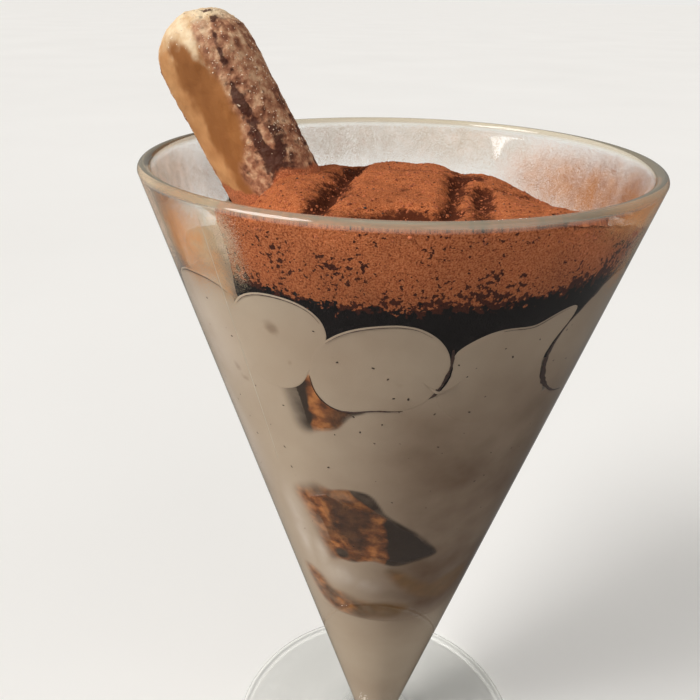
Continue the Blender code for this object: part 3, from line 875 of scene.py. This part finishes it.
def soaked_finish():
    material, tree, shader = new_finish("soaked_sponge", Roughness=0.42)
    colour_with(tree, shader, crumb_colour(tree))
    relief(tree, shader, grain(tree, 900.0, 5.0), 0.0002, 0.7)
    return material


PRESSED_EDGE = 0.0006


def make_soaked(name, finish):
    foot, tip, dome, width, thickness = SOAKED[name]
    length = (Vector(tip) - Vector(foot)).length
    rings = finger_rings(length, width, thickness, 150, 120)
    axes = finger_axes(foot, tip, dome)
    rings = [ring @ axes.T + np.array(foot) for ring in rings]
    mesh = closed_mesh(name, rings)
    points = points_of(mesh)
    points += mesh_normals(mesh) * (0.0005 * noise_at(points, 0.005, seed=width * 1000.0))[:, None]
    degrees = angles_of(points)
    radius = np.hypot(points[:, 0], points[:, 1])
    most = wall_radius(points[:, 2], -SUNK_BEHIND_CREAM)
    outwards = points[:, :2] / radius[:, None]
    facing = (mesh_normals(mesh)[:, :2] * outwards).sum(1) > -0.1
    pressed = np.zeros(len(points))
    for outline in BARE.values():
        deep = inside_outline(outline, degrees, points[:, 2])
        pressed = np.maximum(pressed, smooth_step((deep + PRESSED_EDGE / 2.0) / PRESSED_EDGE) * facing)
    radius = np.minimum(radius, most)
    radius += (wall_radius(points[:, 2], SKIN_SOAKED) - radius) * pressed
    points[:, :2] = outwards * radius[:, None]
    place_points(mesh, points)
    store(mesh, "soak_and_shade", soak_and_shade_of(points, degrees))
    piece = new_piece(f"sponge_{name}", mesh, finish)
    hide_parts(name)
    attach(piece, "root")


soaked_sponge = soaked_finish()
for biscuit in SOAKED:
    make_soaked(biscuit, soaked_sponge)

# ---------------------------------------------------------------- cocoa
# Sifted cocoa, heaped over the cream and pressed to the glass. It is dry, orange-brown powder with
# furrows and lumps on top, painted darker in its furrows as painted shade. Where it meets the cream it
# is painted nearly black.

SKIN_COCOA = 0.00004
COCOA_PLATEAU = 0.1728
COCOA_DROP = 0.0090
FURROWS = (
    ((-0.0100, 0.0180), (-0.0160, -0.0300), 0.0026, 0.0028),
    ((0.0130, 0.0040), (0.0100, -0.0260), 0.0020, 0.0022),
    ((0.0180, -0.0040), (0.0160, -0.0300), 0.0020, 0.0022),
    ((-0.0040, -0.0270), (0.0035, -0.0280), 0.0034, 0.0050),
    ((0.0150, 0.0260), (0.0150, 0.0060), 0.0016, 0.0040),
)
HEAP_MIDDLE = (-0.0010, -0.0140)
HEAP_FLAT = 0.0315
HEAP_RUN = 0.0240
POCKET_RADIUS = 0.0365
SLUMP = 0.0032
HUMP = 0.0010
CLING = 0.0048
CLING_TOP = 0.1771
CLING_DEPTH = 0.0009


def furrow_depth(x, y):
    depth = np.zeros_like(x)
    for start, end, most, half_width in FURROWS:
        line = np.subtract(end, start)
        share = np.clip(((x - start[0]) * line[0] + (y - start[1]) * line[1]) / (line @ line), 0.0, 1.0)
        away = np.hypot(x - start[0] - share * line[0], y - start[1] - share * line[1])
        depth += most * np.exp(-((away / half_width) ** 2))
    return depth


def pocket(degrees):
    """1 in the bare pocket at the left, where no cocoa fell, and 0 outside it."""
    return smooth_step((degrees + 118.0) / 14.0) * smooth_step((-34.0 - degrees) / 11.0)


def cocoa_top(degrees, radius):
    place = at_angle(degrees, radius, 0.0)
    x, y = place[..., 0], place[..., 1]
    away = np.hypot(x - HEAP_MIDDLE[0], y - HEAP_MIDDLE[1])
    height = COCOA_PLATEAU - COCOA_DROP * smooth_step((away - HEAP_FLAT) / HEAP_RUN)
    height -= furrow_depth(x, y)
    height -= SLUMP * smooth_step((x - 0.016) / 0.018) * smooth_step((y + 0.022) / 0.020)
    height += HUMP * np.exp(-(((x - 0.004) / 0.012) ** 2) - ((y - 0.004) / 0.014) ** 2)
    front = np.cos(np.radians(degrees - 8.0))
    height += 0.0022 * smooth_step((radius - 0.034) / 0.014) * smooth_step((front - 0.45) / 0.4)
    return height - 0.0075 * pocket(degrees) * smooth_step((radius - 0.024) / 0.012)


def cocoa_wall_radius(degrees, z):
    full = wall_radius(z, SKIN_COCOA)
    return full + (POCKET_RADIUS - full) * pocket(degrees)


def make_cocoa():
    turn = np.linspace(-180.0, 180.0, 480, endpoint=False)
    base = CREAM_TOP_AT_WALL - CREVICE_DEPTH
    rings, shape = [], []
    for share in (0.25, 0.5, 0.75):
        radius = cocoa_wall_radius(turn, base) * share
        rings.append(at_angle(turn, radius, cream_top(turn, radius) + 0.0001))
        shape.append("base")
    low = cream_top(turn, cocoa_wall_radius(turn, CREAM_TOP_AT_WALL))
    ragged = noise_at(at_angle(turn, 0.05, 0.17), 0.008, 8.0)
    cling = CLING * smooth_step((np.cos(np.radians(turn - 10.0)) - 0.15) / 0.5) * (1.0 + 0.15 * ragged)
    high = np.full(len(turn), 0.168)
    for _ in range(8):
        high = np.minimum(cocoa_top(turn, cocoa_wall_radius(turn, high)) + cling, CLING_TOP)
    for share in np.linspace(0.0, 1.0, 42):
        z = low + (high - low) * share
        rings.append(at_angle(turn, cocoa_wall_radius(turn, z), z))
        shape.append("wall")
    edge = cocoa_wall_radius(turn, high)
    inwards = np.concatenate([[0.0003, 0.0007, 0.0012, 0.0018], np.linspace(0.0025, 0.0500, 148)])
    inwards = np.minimum(inwards, 0.0499)
    for step in inwards:
        radius = edge * (1.0 - step / 0.0501)
        clung = (high - cocoa_top(turn, edge)) * math.exp(-step / CLING_DEPTH)
        rings.append(at_angle(turn, radius, cocoa_top(turn, radius) + clung))
        shape.append("top")
    mesh = closed_mesh("cocoa_heap", rings)
    kinds = np.repeat(np.array(["base", *shape, "top"]), [1, *[len(turn)] * len(shape), 1])
    points = points_of(mesh)
    degrees = angles_of(points)
    radius = np.hypot(points[:, 0], points[:, 1])
    at_wall = (kinds == "wall") & (radius > wall_radius(points[:, 2]) - 0.0002)
    coarse = noise_at(points, 0.0060, 1.0)
    fine = noise_at(points, 0.0019, 7.0, 4)
    hollow = np.clip(furrow_depth(points[:, 0], points[:, 1]) / 0.0030, 0.0, 1.0)
    lumps = 0.00045 * coarse + 0.00026 * fine * (0.5 + hollow)
    fade = np.where(kinds == "top", smooth_step((0.052 - radius) / 0.003), 1.0)
    moved = np.where((kinds == "base") | at_wall, 0.0, lumps * fade)
    points += mesh_normals(mesh) * moved[:, None]
    most = wall_radius(points[:, 2], SKIN_COCOA)
    points[:, :2] *= np.minimum(1.0, most / np.maximum(radius, 1e-6))[:, None]
    place_points(mesh, points)
    rise = np.where(degrees < 0.0, 0.0016, 0.0009) * MM * degrees**2
    level = 0.1619 + rise + 0.0007 * noise_at(points, 0.006, 2.0)
    store(mesh, "above_black_band", np.where(kinds == "top", 20.0, (points[:, 2] - level) / MM))
    store(mesh, "hollow", np.where(kinds == "top", np.clip(hollow - 0.5 * coarse, 0.0, 1.0), 0.0))
    store(mesh, "loose", np.where((kinds == "top") & (radius < 0.0515), 1.0, 0.0))
    piece = new_piece("cocoa_heap", mesh, cocoa_finish())
    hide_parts("cocoa")
    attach(piece, "root")
    return piece


def cocoa_finish():
    """Dry cocoa powder: dull, orange-brown, painted darker in its furrows as painted shade. On the glass it
    is darker towards the bottom and nearly black along its lowest, ragged edge. Its dark specks are painted
    shade for hollows in the powder, ever fewer higher up."""
    material, tree, shader = new_finish("cocoa_powder", Roughness=0.95, Specular_IOR_Level=0.1)
    fine = grain(tree, 3300.0, 3.0)
    dry = ramp(tree, fine, (0.30, tone(124, 60, 31)), (0.48, tone(188, 105, 62)), (0.68, tone(212, 132, 86)))
    clouds = ramp(tree, grain(tree, 170.0, 3.0), (0.3, 0.80), (0.7, 1.0))
    dry = mixed(tree, 1.0, dry, clouds, "MULTIPLY")
    # Painted shade: the furrows and hollows of the heap are painted darker.
    shade = sums(tree, "ADD", stored(tree, "hollow"), sums(tree, "MULTIPLY", grain(tree, 1300.0, 4.0), 0.9))
    colour = mixed(tree, ramp(tree, shade, (0.62, 0.0), (1.04, 0.94)), dry, tone(72, 32, 18))
    above = stored(tree, "above_black_band")
    up = sums(tree, "MULTIPLY", above, 0.05)
    # Darker towards the bottom of the cocoa on the glass.
    darker_low = ramp(tree, up, (0.0, 0.66), (0.35, 0.84), (0.9, 1.0))
    colour = mixed(tree, 1.0, colour, darker_low, "MULTIPLY")
    # Painted shade: dark specks stand for shaded hollows in the powder against the glass, fewer higher up.
    speck_grain = grain(tree, 1150.0, 5.0)
    gather = sums(tree, "MULTIPLY", grain(tree, 170.0, 2.0, (1.0, 1.0, 0.7)), 0.6)
    needed = ramp(tree, up, (0.0, 0.66), (0.05, 0.76), (0.15, 0.85), (0.40, 0.92), (1.0, 1.0))
    shaded_voids = sums(tree, "SUBTRACT", sums(tree, "ADD", speck_grain, gather), needed)
    colour = mixed(tree, ramp(tree, shaded_voids, (0.0, 0.0), (0.03, 0.92)), colour, tone(46, 16, 12))
    # Nearly black along the lowest edge, which is ragged.
    ragged = sums(tree, "MULTIPLY", sums(tree, "SUBTRACT", grain(tree, 820.0, 7.0), 0.5), 10.0)
    ragged = sums(tree, "ADD", above, ragged)
    black_band = ramp(tree, sums(tree, "SUBTRACT", 0.5, ragged), (0.0, 0.0), (0.35, 1.0))
    colour_with(tree, shader, mixed(tree, black_band, colour, (0.007, 0.005, 0.005, 1.0)))
    relief(tree, shader, sums(tree, "ADD", fine, grain(tree, 1100.0, 4.0)), 0.00022, 0.8)
    return material


cocoa_heap = make_cocoa()

# ---------------------------------------------------------------- dry sponge finger
# One dry sponge finger stands in the cream and leans out over the rim. Its flat underside, baked on
# paper, is smooth and golden. Its domed top is rough with sugar, and cocoa has been sifted over it.

DRY_LENGTH = 0.0830
DRY_WIDTH = 0.0262
DRY_THICKNESS = 0.0164
DRY_AT_RIM = Vector((-0.0347, 0.0130, HEIGHT))
DRY_ALONG = Vector((-0.545, 0.07, 1.0)).normalized()
DRY_ABOVE_RIM = 0.0298
DRY_DOME = Vector((0.56, 0.79, 0.25))


def dry_finish():
    """Baked sponge: golden and smooth underneath, with a paler strip along one rounded edge that is a painted
    highlight, pale and sugared on top, dusted with cocoa.
    """
    material, tree, shader = new_finish("dry_sponge", Roughness=0.7, Specular_IOR_Level=0.3)
    share = {label: stored(tree, label) for label in ("sugar", "cap", "pale", "dust", "buried")}
    streaky = grain(tree, 130.0, 5.0, (1.0, 1.0, 0.5))
    golden = ramp(tree, streaky, (0.3, tone(140, 86, 42)), (0.7, tone(170, 112, 60)))
    # Painted highlight: a paler strip where the key light catches the finger's rounded left edge.
    highlight_strip = ramp(tree, grain(tree, 200.0, 4.0), (0.3, tone(186, 130, 80)), (0.7, tone(206, 152, 100)))
    crust_tones = (0.34, tone(126, 78, 56)), (0.5, tone(178, 126, 94)), (0.66, tone(216, 176, 140))
    crust = ramp(tree, grain(tree, 520.0, 6.0), *crust_tones)
    white = ramp(tree, grain(tree, 300.0, 5.0), (0.34, tone(212, 172, 126)), (0.6, tone(240, 216, 180)))
    colour = mixed(tree, share["pale"], golden, highlight_strip)
    colour = mixed(tree, share["sugar"], colour, crust)
    colour = mixed(tree, share["cap"], colour, white)
    specks = sums(tree, "ADD", share["dust"], sums(tree, "MULTIPLY", grain(tree, 640.0, 6.0), 1.1))
    colour = mixed(tree, ramp(tree, specks, (0.80, 0.0), (1.08, 0.92)), colour, tone(70, 34, 24))
    powder = ramp(tree, grain(tree, 3000.0, 3.0), (0.35, tone(150, 80, 46)), (0.65, tone(206, 124, 80)))
    heaped = sums(tree, "ADD", share["buried"], sums(tree, "MULTIPLY", grain(tree, 520.0, 5.0), 0.9))
    colour_with(tree, shader, mixed(tree, ramp(tree, heaped, (0.62, 0.0), (1.0, 1.0)), colour, powder))
    rough = sums(tree, "MULTIPLY", grain(tree, 1200.0, 4.0), sums(tree, "ADD", share["sugar"], 0.25))
    relief(tree, shader, rough, 0.00035, 0.8)
    return material


def make_dry_finger():
    foot = DRY_AT_RIM - DRY_ALONG * (DRY_LENGTH - DRY_ABOVE_RIM)
    tip = DRY_AT_RIM + DRY_ALONG * DRY_ABOVE_RIM
    sides = 240
    rings = finger_rings(DRY_LENGTH, DRY_WIDTH, DRY_THICKNESS, sides, 260)
    axes = finger_axes(foot, tip, DRY_DOME)
    mesh = closed_mesh("dry_sponge_finger", [ring @ axes.T + np.array(foot) for ring in rings])
    points = points_of(mesh)
    around = np.tile(np.arange(sides) * 360.0 / sides, len(rings))
    around = turned_by(np.concatenate([[90.0], around, [90.0]]))
    from_flat = np.abs(turned_by(around + 90.0))
    own = np.concatenate([rings[0].mean(0)[None], *rings, rings[-1].mean(0)[None]])
    to_tip = (DRY_LENGTH - own[:, 2]) / MM
    ragged = noise_at(points, 0.0045, 6.0, 4)
    near_side = around > -90.0
    edge = np.where(near_side, 35.0 - 30.0 * smooth_step((to_tip - 25.0) / 12.0), 40.0)
    sugar = smooth_step((from_flat - edge + 7.0 * ragged) / 14.0 + 0.5)
    cap_length = 3.6 + 6.0 * np.exp(-(((around + 62.0) / 12.0) ** 2)) + 1.5 * (from_flat > 50.0)
    cap = smooth_step((cap_length + 3.0 * ragged - to_tip) / 5.0 + 0.5)
    # Where the painted highlight lies: the rounded edge that faces the key light.
    pale = smooth_step((-95.0 - around + 5.0 * ragged) / 8.0 + 0.5) * (around < -60.0)
    line = -5.0 - 24.0 * smooth_step((to_tip - 3.0) / 7.0) - 7.0 * smooth_step((to_tip - 10.0) / 10.0)
    half = 5.0 + 12.0 * smooth_step((to_tip - 11.0) / 20.0)
    line = line + 5.0 * noise_at(points, 0.007, 12.0)
    streak = np.exp(-(((around - line) / half) ** 2)) * smooth_step((to_tip - 1.0) / 1.5)
    dirt = smooth_step((to_tip - 12.0) / 24.0) * smooth_step((around + 62.0) / 22.0)
    heap_edge = 0.1690 + 0.0065 * smooth_step((around + 75.0) / 40.0)
    buried = smooth_step((heap_edge + 0.0008 * ragged - points[:, 2]) / 0.003)
    lengthwise = noise_at(own * (1.0, 1.0, 0.3), 0.0030, 9.0)
    patch = np.exp(-(((around + 28.0 + 1.7 * (to_tip - 28.0)) / 11.0) ** 2) - ((to_tip - 34.0) / 7.0) ** 2)
    dust = (0.30 * streak + 0.34 * patch) * (0.9 + 1.4 * lengthwise)
    dust += 0.13 * sugar + 0.17 * dirt * sugar * (1.0 + lengthwise)
    lumps = 0.00030 * noise_at(points, 0.007, 4.0)
    lumps += 0.00020 * noise_at(points, 0.0016, 5.0, 4) * (0.15 + sugar)
    points += mesh_normals(mesh) * lumps[:, None]
    place_points(mesh, points)
    marks = {"sugar": sugar, "cap": cap, "pale": pale, "dust": dust, "buried": buried}
    for label, values in marks.items():
        store(mesh, label, values)
    store(mesh, "loose", np.maximum(sugar, cap) * (1.0 - 0.9 * streak) * (points[:, 2] > 0.1765))
    piece = new_piece("dry_sponge_finger", mesh, dry_finish())
    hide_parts("standing_biscuit")
    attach(piece, "root")
    return piece


dry_finger = make_dry_finger()

# ---------------------------------------------------------------- sugar, crumbs and specks
# Grains of sugar are baked on to the dry finger's top. Crumbs of cocoa lie loose on the heap, and a few
# specks of it have been pressed against the glass with the cream. All are scattered at true size.


FEW_LARGE = 2.5
MOST_SQUASHED, LEAST_SQUASHED = (0.6, 0.6, 0.5), (1.2, 1.2, 0.9)


def scattering_tree():
    """Lumps of few faces on a surface where its loose attribute is high, each squashed at random."""
    tree, given, out = new_tree(
        "scattered_lumps", ("Density", "Float"), ("Smallest", "Float"), ("Largest", "Float"),
        ("Sunk", "Float"), ("Seed", "Int"), ("Finish", "Material"),
    )
    loose = add(tree, "GeometryNodeInputNamedAttribute", {"Name": "loose"}, data_type="FLOAT")
    density = sums(tree, "MULTIPLY", loose.outputs["Attribute"], given["Density"])
    inputs = {"Mesh": given["Geometry"], "Density": density, "Seed": given["Seed"]}
    spread = add(tree, "GeometryNodeDistributePointsOnFaces", inputs)
    lump = add(tree, "GeometryNodeMeshIcoSphere", {"Radius": 1.0, "Subdivisions": 1})
    chance = add(tree, "FunctionNodeRandomValue", {"Seed": given["Seed"]}, data_type="FLOAT")
    skewed = sums(tree, "POWER", chance.outputs[1], FEW_LARGE)
    spare = sums(tree, "SUBTRACT", given["Largest"], given["Smallest"])
    size = sums(tree, "ADD", given["Smallest"], sums(tree, "MULTIPLY", skewed, spare))
    inputs = {0: MOST_SQUASHED, 1: LEAST_SQUASHED, "Seed": 5}
    squash = add(tree, "FunctionNodeRandomValue", inputs, data_type="FLOAT_VECTOR")
    inputs = {0: squash.outputs[0], "Scale": size}
    scale = add(tree, "ShaderNodeVectorMath", inputs, operation="SCALE")
    inputs = {0: (0.0, 0.0, 0.0), 1: (6.28, 6.28, 6.28), "Seed": 9}
    turn = add(tree, "FunctionNodeRandomValue", inputs, data_type="FLOAT_VECTOR")
    depth = sums(tree, "MULTIPLY", sums(tree, "MULTIPLY", size, given["Sunk"]), -1.0)
    inputs = {0: spread.outputs["Normal"], "Scale": depth}
    down = add(tree, "ShaderNodeVectorMath", inputs, operation="SCALE")
    inputs = {"Geometry": spread.outputs["Points"], "Offset": down.outputs[0]}
    sunk = add(tree, "GeometryNodeSetPosition", inputs)
    inputs = {
        "Points": sunk.outputs[0], "Instance": lump.outputs["Mesh"], "Rotation": turn.outputs[0],
        "Scale": scale.outputs[0],
    }
    return ended(tree, add(tree, "GeometryNodeInstanceOnPoints", inputs), given, out)


scattering = scattering_tree()


def scatter(name, carrier, finish, slot, **values):
    source = new_piece(f"{name}_ground", carrier.data.copy(), smooth=False)
    piece = grown(name, source, scattering, {**values, "Finish": finish})
    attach(piece, "root")


def crumb_finish(name, dark, light, size=2500.0, **values):
    material, tree, shader = new_finish(name, **values)
    colour_with(tree, shader, ramp(tree, grain(tree, size, 2.0), (0.35, dark), (0.65, light)))
    return material


sugar_finish = crumb_finish("sugar_grains", tone(214, 182, 150), tone(248, 232, 208), Roughness=0.35)
cocoa_crumbs = crumb_finish("cocoa_crumbs", tone(120, 58, 32), tone(196, 112, 70), 900.0, Roughness=0.95)
wet_cocoa = crumb_finish("wet_cocoa", tone(40, 22, 16), tone(66, 38, 26), Roughness=0.6)
scatter("sugar_on_finger", dry_finger, sugar_finish, "dry_sponge",
        Density=900000.0, Smallest=0.00010, Largest=0.00032, Sunk=0.35, Seed=3)
scatter("cocoa_crumbs_on_heap", cocoa_heap, cocoa_crumbs, "cocoa_powder",
        Density=700000.0, Smallest=0.00012, Largest=0.00055, Sunk=0.3, Seed=11)
scatter("dark_crumbs_on_heap", cocoa_heap, wet_cocoa, "cocoa_powder",
        Density=60000.0, Smallest=0.00012, Largest=0.00045, Sunk=0.3, Seed=23)

SKIN_SPECK = 0.00020
SPECK_HALF_THICKNESS = 0.00005


def ribbon_mesh(name, path):
    """A thin closed band on the wall through points (degrees, millimetres up, half width in millimetres)."""
    line = np.array([tuple(point) for point in through([Vector(p) for p in path], 12)])
    degrees, z, half = line[:, 0], line[:, 1] * MM, line[:, 2] * MM
    centre = at_angle(degrees, wall_radius(z, SKIN_SPECK), z)
    run = np.gradient(centre, axis=0)
    run /= np.linalg.norm(run, axis=1)[:, None]
    out = at_angle(degrees, 1.0, 0.0)
    side = np.cross(run, out)
    half = half * (1.0 + 0.45 * noise_at(centre, 0.0011, 4.0))
    rings = []
    for middle, across, outwards, width in zip(centre, side, out, half):
        ring = [middle + across * width * math.cos(turn) + outwards * SPECK_HALF_THICKNESS * math.sin(turn)
                for turn in np.linspace(0.0, math.tau, 8, endpoint=False)]
        rings.append(np.array(ring))
    return closed_mesh(name, rings)


def joined(name, meshes, finish):
    pieces = [new_piece(f"{name}_{i}", mesh, finish) for i, mesh in enumerate(meshes)]
    with bpy.context.temp_override(active_object=pieces[0], selected_editable_objects=pieces):
        bpy.ops.object.join()
    pieces[0].name = pieces[0].data.name = name
    return pieces[0]


# Cocoa drawn into the seams between dollops: degrees, millimetres up, and half its width in millimetres.
SEAMS = (
    ((13.6, 154.0, 0.30), (13.9, 150.6, 0.22), (13.2, 147.6, 0.30), (12.2, 145.4, 0.20), (11.3, 143.8, 0.34),
     (9.8, 142.6, 0.06)),
    ((53.5, 164.4, 0.14), (49.6, 161.2, 0.22), (46.0, 158.2, 0.20), (43.0, 155.4, 0.24), (41.2, 151.6, 0.32),
     (40.9, 147.4, 0.60), (43.0, 143.0, 0.72), (47.0, 139.8, 0.42), (52.0, 137.4, 0.24), (59.2, 135.6, 0.10)),
    ((56.5, 166.0, 0.12), (52.0, 162.8, 0.20), (48.8, 160.2, 0.30)),
)
# Cocoa along the rims of dollops: from and to which direction from the middle, anticlockwise from the
# right, how far inside the rim, and half the line's width, in millimetres.
RIM_LINES = (
    ("dollop_front", 196.0, 300.0, -0.05, 0.17),
    ("dollop_front", 150.0, 38.0, 0.50, 0.07),
    ("dollop_front_left", 138.0, 42.0, 0.50, 0.08),
    ("dollop_left", 128.0, 52.0, 0.50, 0.10),
    ("dollop_front_right", 122.0, 62.0, 0.50, 0.09),
)


def rim_line(name, first, last, inset, half):
    """Points of a ribbon that follows the rim of a dollop's flat spot and thins out to both ends."""
    angle, height, radii = DOLLOPS[name]
    turn = np.radians(np.linspace(first, last, 9))
    reach = reach_of(radii, turn) - inset
    degrees = angle + np.degrees(reach * MM * np.cos(turn) / wall_radius(height))
    width = half * np.sin(np.linspace(0.3, math.pi - 0.3, 9))
    return np.stack([degrees, height / MM + reach * np.sin(turn), width], axis=1)


seam_paths = [*SEAMS, *[rim_line(*line) for line in RIM_LINES]]
seams = joined("cocoa_in_seams", [ribbon_mesh("seam", path) for path in seam_paths], wet_cocoa)
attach(seams, "root")


def speck_mesh(degrees, height, radius):
    """A thin lumpy disc on the wall."""
    turn = np.linspace(0.0, math.tau, 9)[:-1]
    wobble = 1.0 + 0.35 * np.sin(turn * 2.0 + degrees)
    rings = []
    for share, out in ((0.6, -1.0), (1.0, 0.0), (0.6, 1.0)):
        z = height + radius * share * wobble * np.sin(turn)
        angle = degrees + np.degrees(radius * share * wobble * np.cos(turn) / wall_radius(height))
        rings.append(at_angle(angle, wall_radius(z, SKIN_SPECK) + out * SPECK_HALF_THICKNESS, z))
    return closed_mesh("speck", rings)


# The larger specks, then many small ones anywhere at the front: degrees, millimetres up, and radius.
LARGE_SPECKS = (
    (-12.1, 150.2, 0.22), (-0.4, 147.3, 0.2), (4.8, 142.6, 0.26), (1.2, 142.7, 0.22), (-3.8, 149.7, 0.24)
)
SMALL_SPECKS_BETWEEN = ((-58.0, 60.0), (96.0, 157.0), (0.08, 0.26))
draw = np.random.default_rng(17)
specks = [*LARGE_SPECKS, *[[draw.uniform(*ends) for ends in SMALL_SPECKS_BETWEEN] for _ in range(70)]]
specks = [speck_mesh(degrees, z * MM, radius * MM) for degrees, z, radius in specks]
cream_specks = joined("cocoa_specks_in_cream", specks, wet_cocoa)
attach(cream_specks, "root")

# ---------------------------------------------------------------- dust on the wall
# Above the cream the inside of the glass is dusty: cocoa has clung to it, and some of it was smeared
# with cream while the glass was filled. It is a thin skin that shows in patches: it lies on the wall, and
# at the front, where cocoa and cream fill the glass, it is let into the wall.

# Middle (degrees, millimetres up), half sizes, how thick it lies, and its tone from cream 0 to cocoa 1.
HAZE = (
    (-49.0, 169.0, 9.0, 8.0, 0.90, 0.52),
    (-67.0, 170.0, 9.0, 11.0, 0.92, -0.20),
    (-40.0, 170.0, 5.0, 6.5, 0.80, 0.30),
    (-35.0, 173.5, 4.0, 4.0, 0.72, 0.04),
    (-33.0, 168.0, 2.6, 5.0, 0.42, 0.15),
    (-38.5, 162.5, 2.6, 4.0, 0.60, 0.35),
    (-88.0, 172.0, 18.0, 8.0, 0.72, 0.16),
    (-120.0, 168.0, 20.0, 9.0, 0.68, 0.18),
    (-160.0, 173.0, 18.0, 8.0, 0.66, 0.22),
    (165.0, 174.0, 26.0, 8.0, 0.66, 0.16),
    (128.0, 167.0, 16.0, 8.0, 0.80, 0.66),
    (108.0, 167.5, 17.0, 9.5, 0.93, 0.80),
    (88.0, 168.0, 14.0, 10.0, 0.94, 0.82),
    (66.0, 170.0, 9.0, 9.0, 0.94, 0.24),
    (54.0, 175.5, 12.0, 4.2, 0.93, 0.50),
    (58.0, 164.0, 5.0, 3.5, 0.65, 0.50),
)
HAZE_BETWEEN = (0.1560, 0.1773)
DUST_GRAIN = 0.00005
SKIN_HAZE = 0.00013
SKIN_HAZE_BEHIND = -0.00010
HAZE_THICKNESS = 0.00002


def haze_finish():
    material, tree, shader = new_finish("dusty_wall", Roughness=0.85, Specular_IOR_Level=0.1)
    uneven = sums(tree, "MULTIPLY", sums(tree, "SUBTRACT", grain(tree, 380.0, 5.0), 0.5), 0.5)
    mix = sums(tree, "ADD", stored(tree, "cocoa_share"), uneven)
    creamy_to_cocoa = (0.0, tone(236, 210, 186)), (0.2, tone(196, 174, 142)), (0.5, tone(208, 146, 90))
    colour_with(tree, shader, ramp(tree, mix, *creamy_to_cocoa, (1.0, tone(134, 76, 40))))
    patchy = ramp(tree, grain(tree, 200.0, 6.0, (1.0, 1.0, 0.35)), (0.30, 0.74), (0.62, 1.0))
    # It is loose grains: each little cell of the skin is covered or bare, as often as the dust is thick.
    inputs = {0: add(tree, "ShaderNodeTexCoord").outputs["Object"], 1: [DUST_GRAIN] * 3}
    cell = add(tree, "ShaderNodeVectorMath", inputs, operation="SNAP").outputs["Vector"]
    luck = add(tree, "ShaderNodeTexWhiteNoise", {"Vector": cell}).outputs["Value"]
    covered = sums(tree, "LESS_THAN", luck, sums(tree, "MULTIPLY", stored(tree, "thick"), patchy))
    tree.links.new(covered, shader.inputs["Alpha"])
    return material


def make_haze():
    turn = np.linspace(-180.0, 180.0, 360, endpoint=False)
    lowest, highest = HAZE_BETWEEN
    heights = np.linspace(lowest, highest, 40)
    front = smooth_step((turn + 80.0) / 8.0) * smooth_step((84.0 - turn) / 8.0)
    skin = SKIN_HAZE_BEHIND + (SKIN_HAZE - SKIN_HAZE_BEHIND) * front
    rings = [at_angle(turn, wall_radius(z, skin), z) for z in heights]
    rings += [at_angle(turn, wall_radius(z, skin - HAZE_THICKNESS), z) for z in heights[::-1]]
    count, rows = len(turn), len(rings)
    faces = [between(count, row * count, (row + 1) % rows * count) for row in range(rows)]
    mesh = mesh_from("dust_on_wall", np.concatenate(rings), np.concatenate(faces).tolist())
    points = points_of(mesh)
    degrees = angles_of(points)
    thick, share, total = np.zeros(len(points)), np.zeros(len(points)), np.full(len(points), 1e-6)
    for *place, most, cocoa in HAZE:
        here = most * np.exp(-(away_from(place, degrees, points[:, 2]) ** 1.5))
        thick = 1.0 - (1.0 - thick) * (1.0 - here)
        share += here * cocoa
        total += here
    ends = smooth_step((points[:, 2] - lowest) / 0.002) * smooth_step((highest - points[:, 2]) / 0.0009)
    store(mesh, "thick", (1.0 - np.sqrt(1.0 - np.minimum(thick, 0.97))) * ends)
    store(mesh, "cocoa_share", share / total)
    piece = new_piece("dust_on_wall", mesh, haze_finish())
    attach(piece, "root")


make_haze()

# ---------------------------------------------------------------- mould seam
# The mould has left a hair-thin raised line down the outside of the cone.

MOULD_SEAM_ANGLE = -38.0
MOULD_SEAM_HALF_WIDTH = 0.00007
MOULD_SEAM_RISE = 0.00004
MOULD_SEAM_FROM, MOULD_SEAM_TO = 0.1190, 0.1765


def make_mould_seam():
    material, tree, shader = new_finish("mould_seam", Roughness=0.25, IOR=1.5, Transmission_Weight=0.35)
    tones = (0.3, tone(214, 200, 176)), (0.7, tone(244, 236, 220))
    colour_with(tree, shader, ramp(tree, grain(tree, 60.0), *tones))
    turn = np.linspace(0.0, math.tau, 6, endpoint=False)
    rings = []
    for z in np.linspace(MOULD_SEAM_FROM, MOULD_SEAM_TO, 60):
        half_width = MOULD_SEAM_HALF_WIDTH * min(1.0, 0.25 + (z - MOULD_SEAM_FROM) / 0.015)
        angle = MOULD_SEAM_ANGLE + np.degrees(np.cos(turn) * half_width / outer_radius(z))
        rings.append(at_angle(angle, outer_radius(z) + np.sin(turn) * MOULD_SEAM_RISE, z))
    piece = new_piece("mould_seam", closed_mesh("mould_seam", rings), material)
    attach(piece, "root")


make_mould_seam()
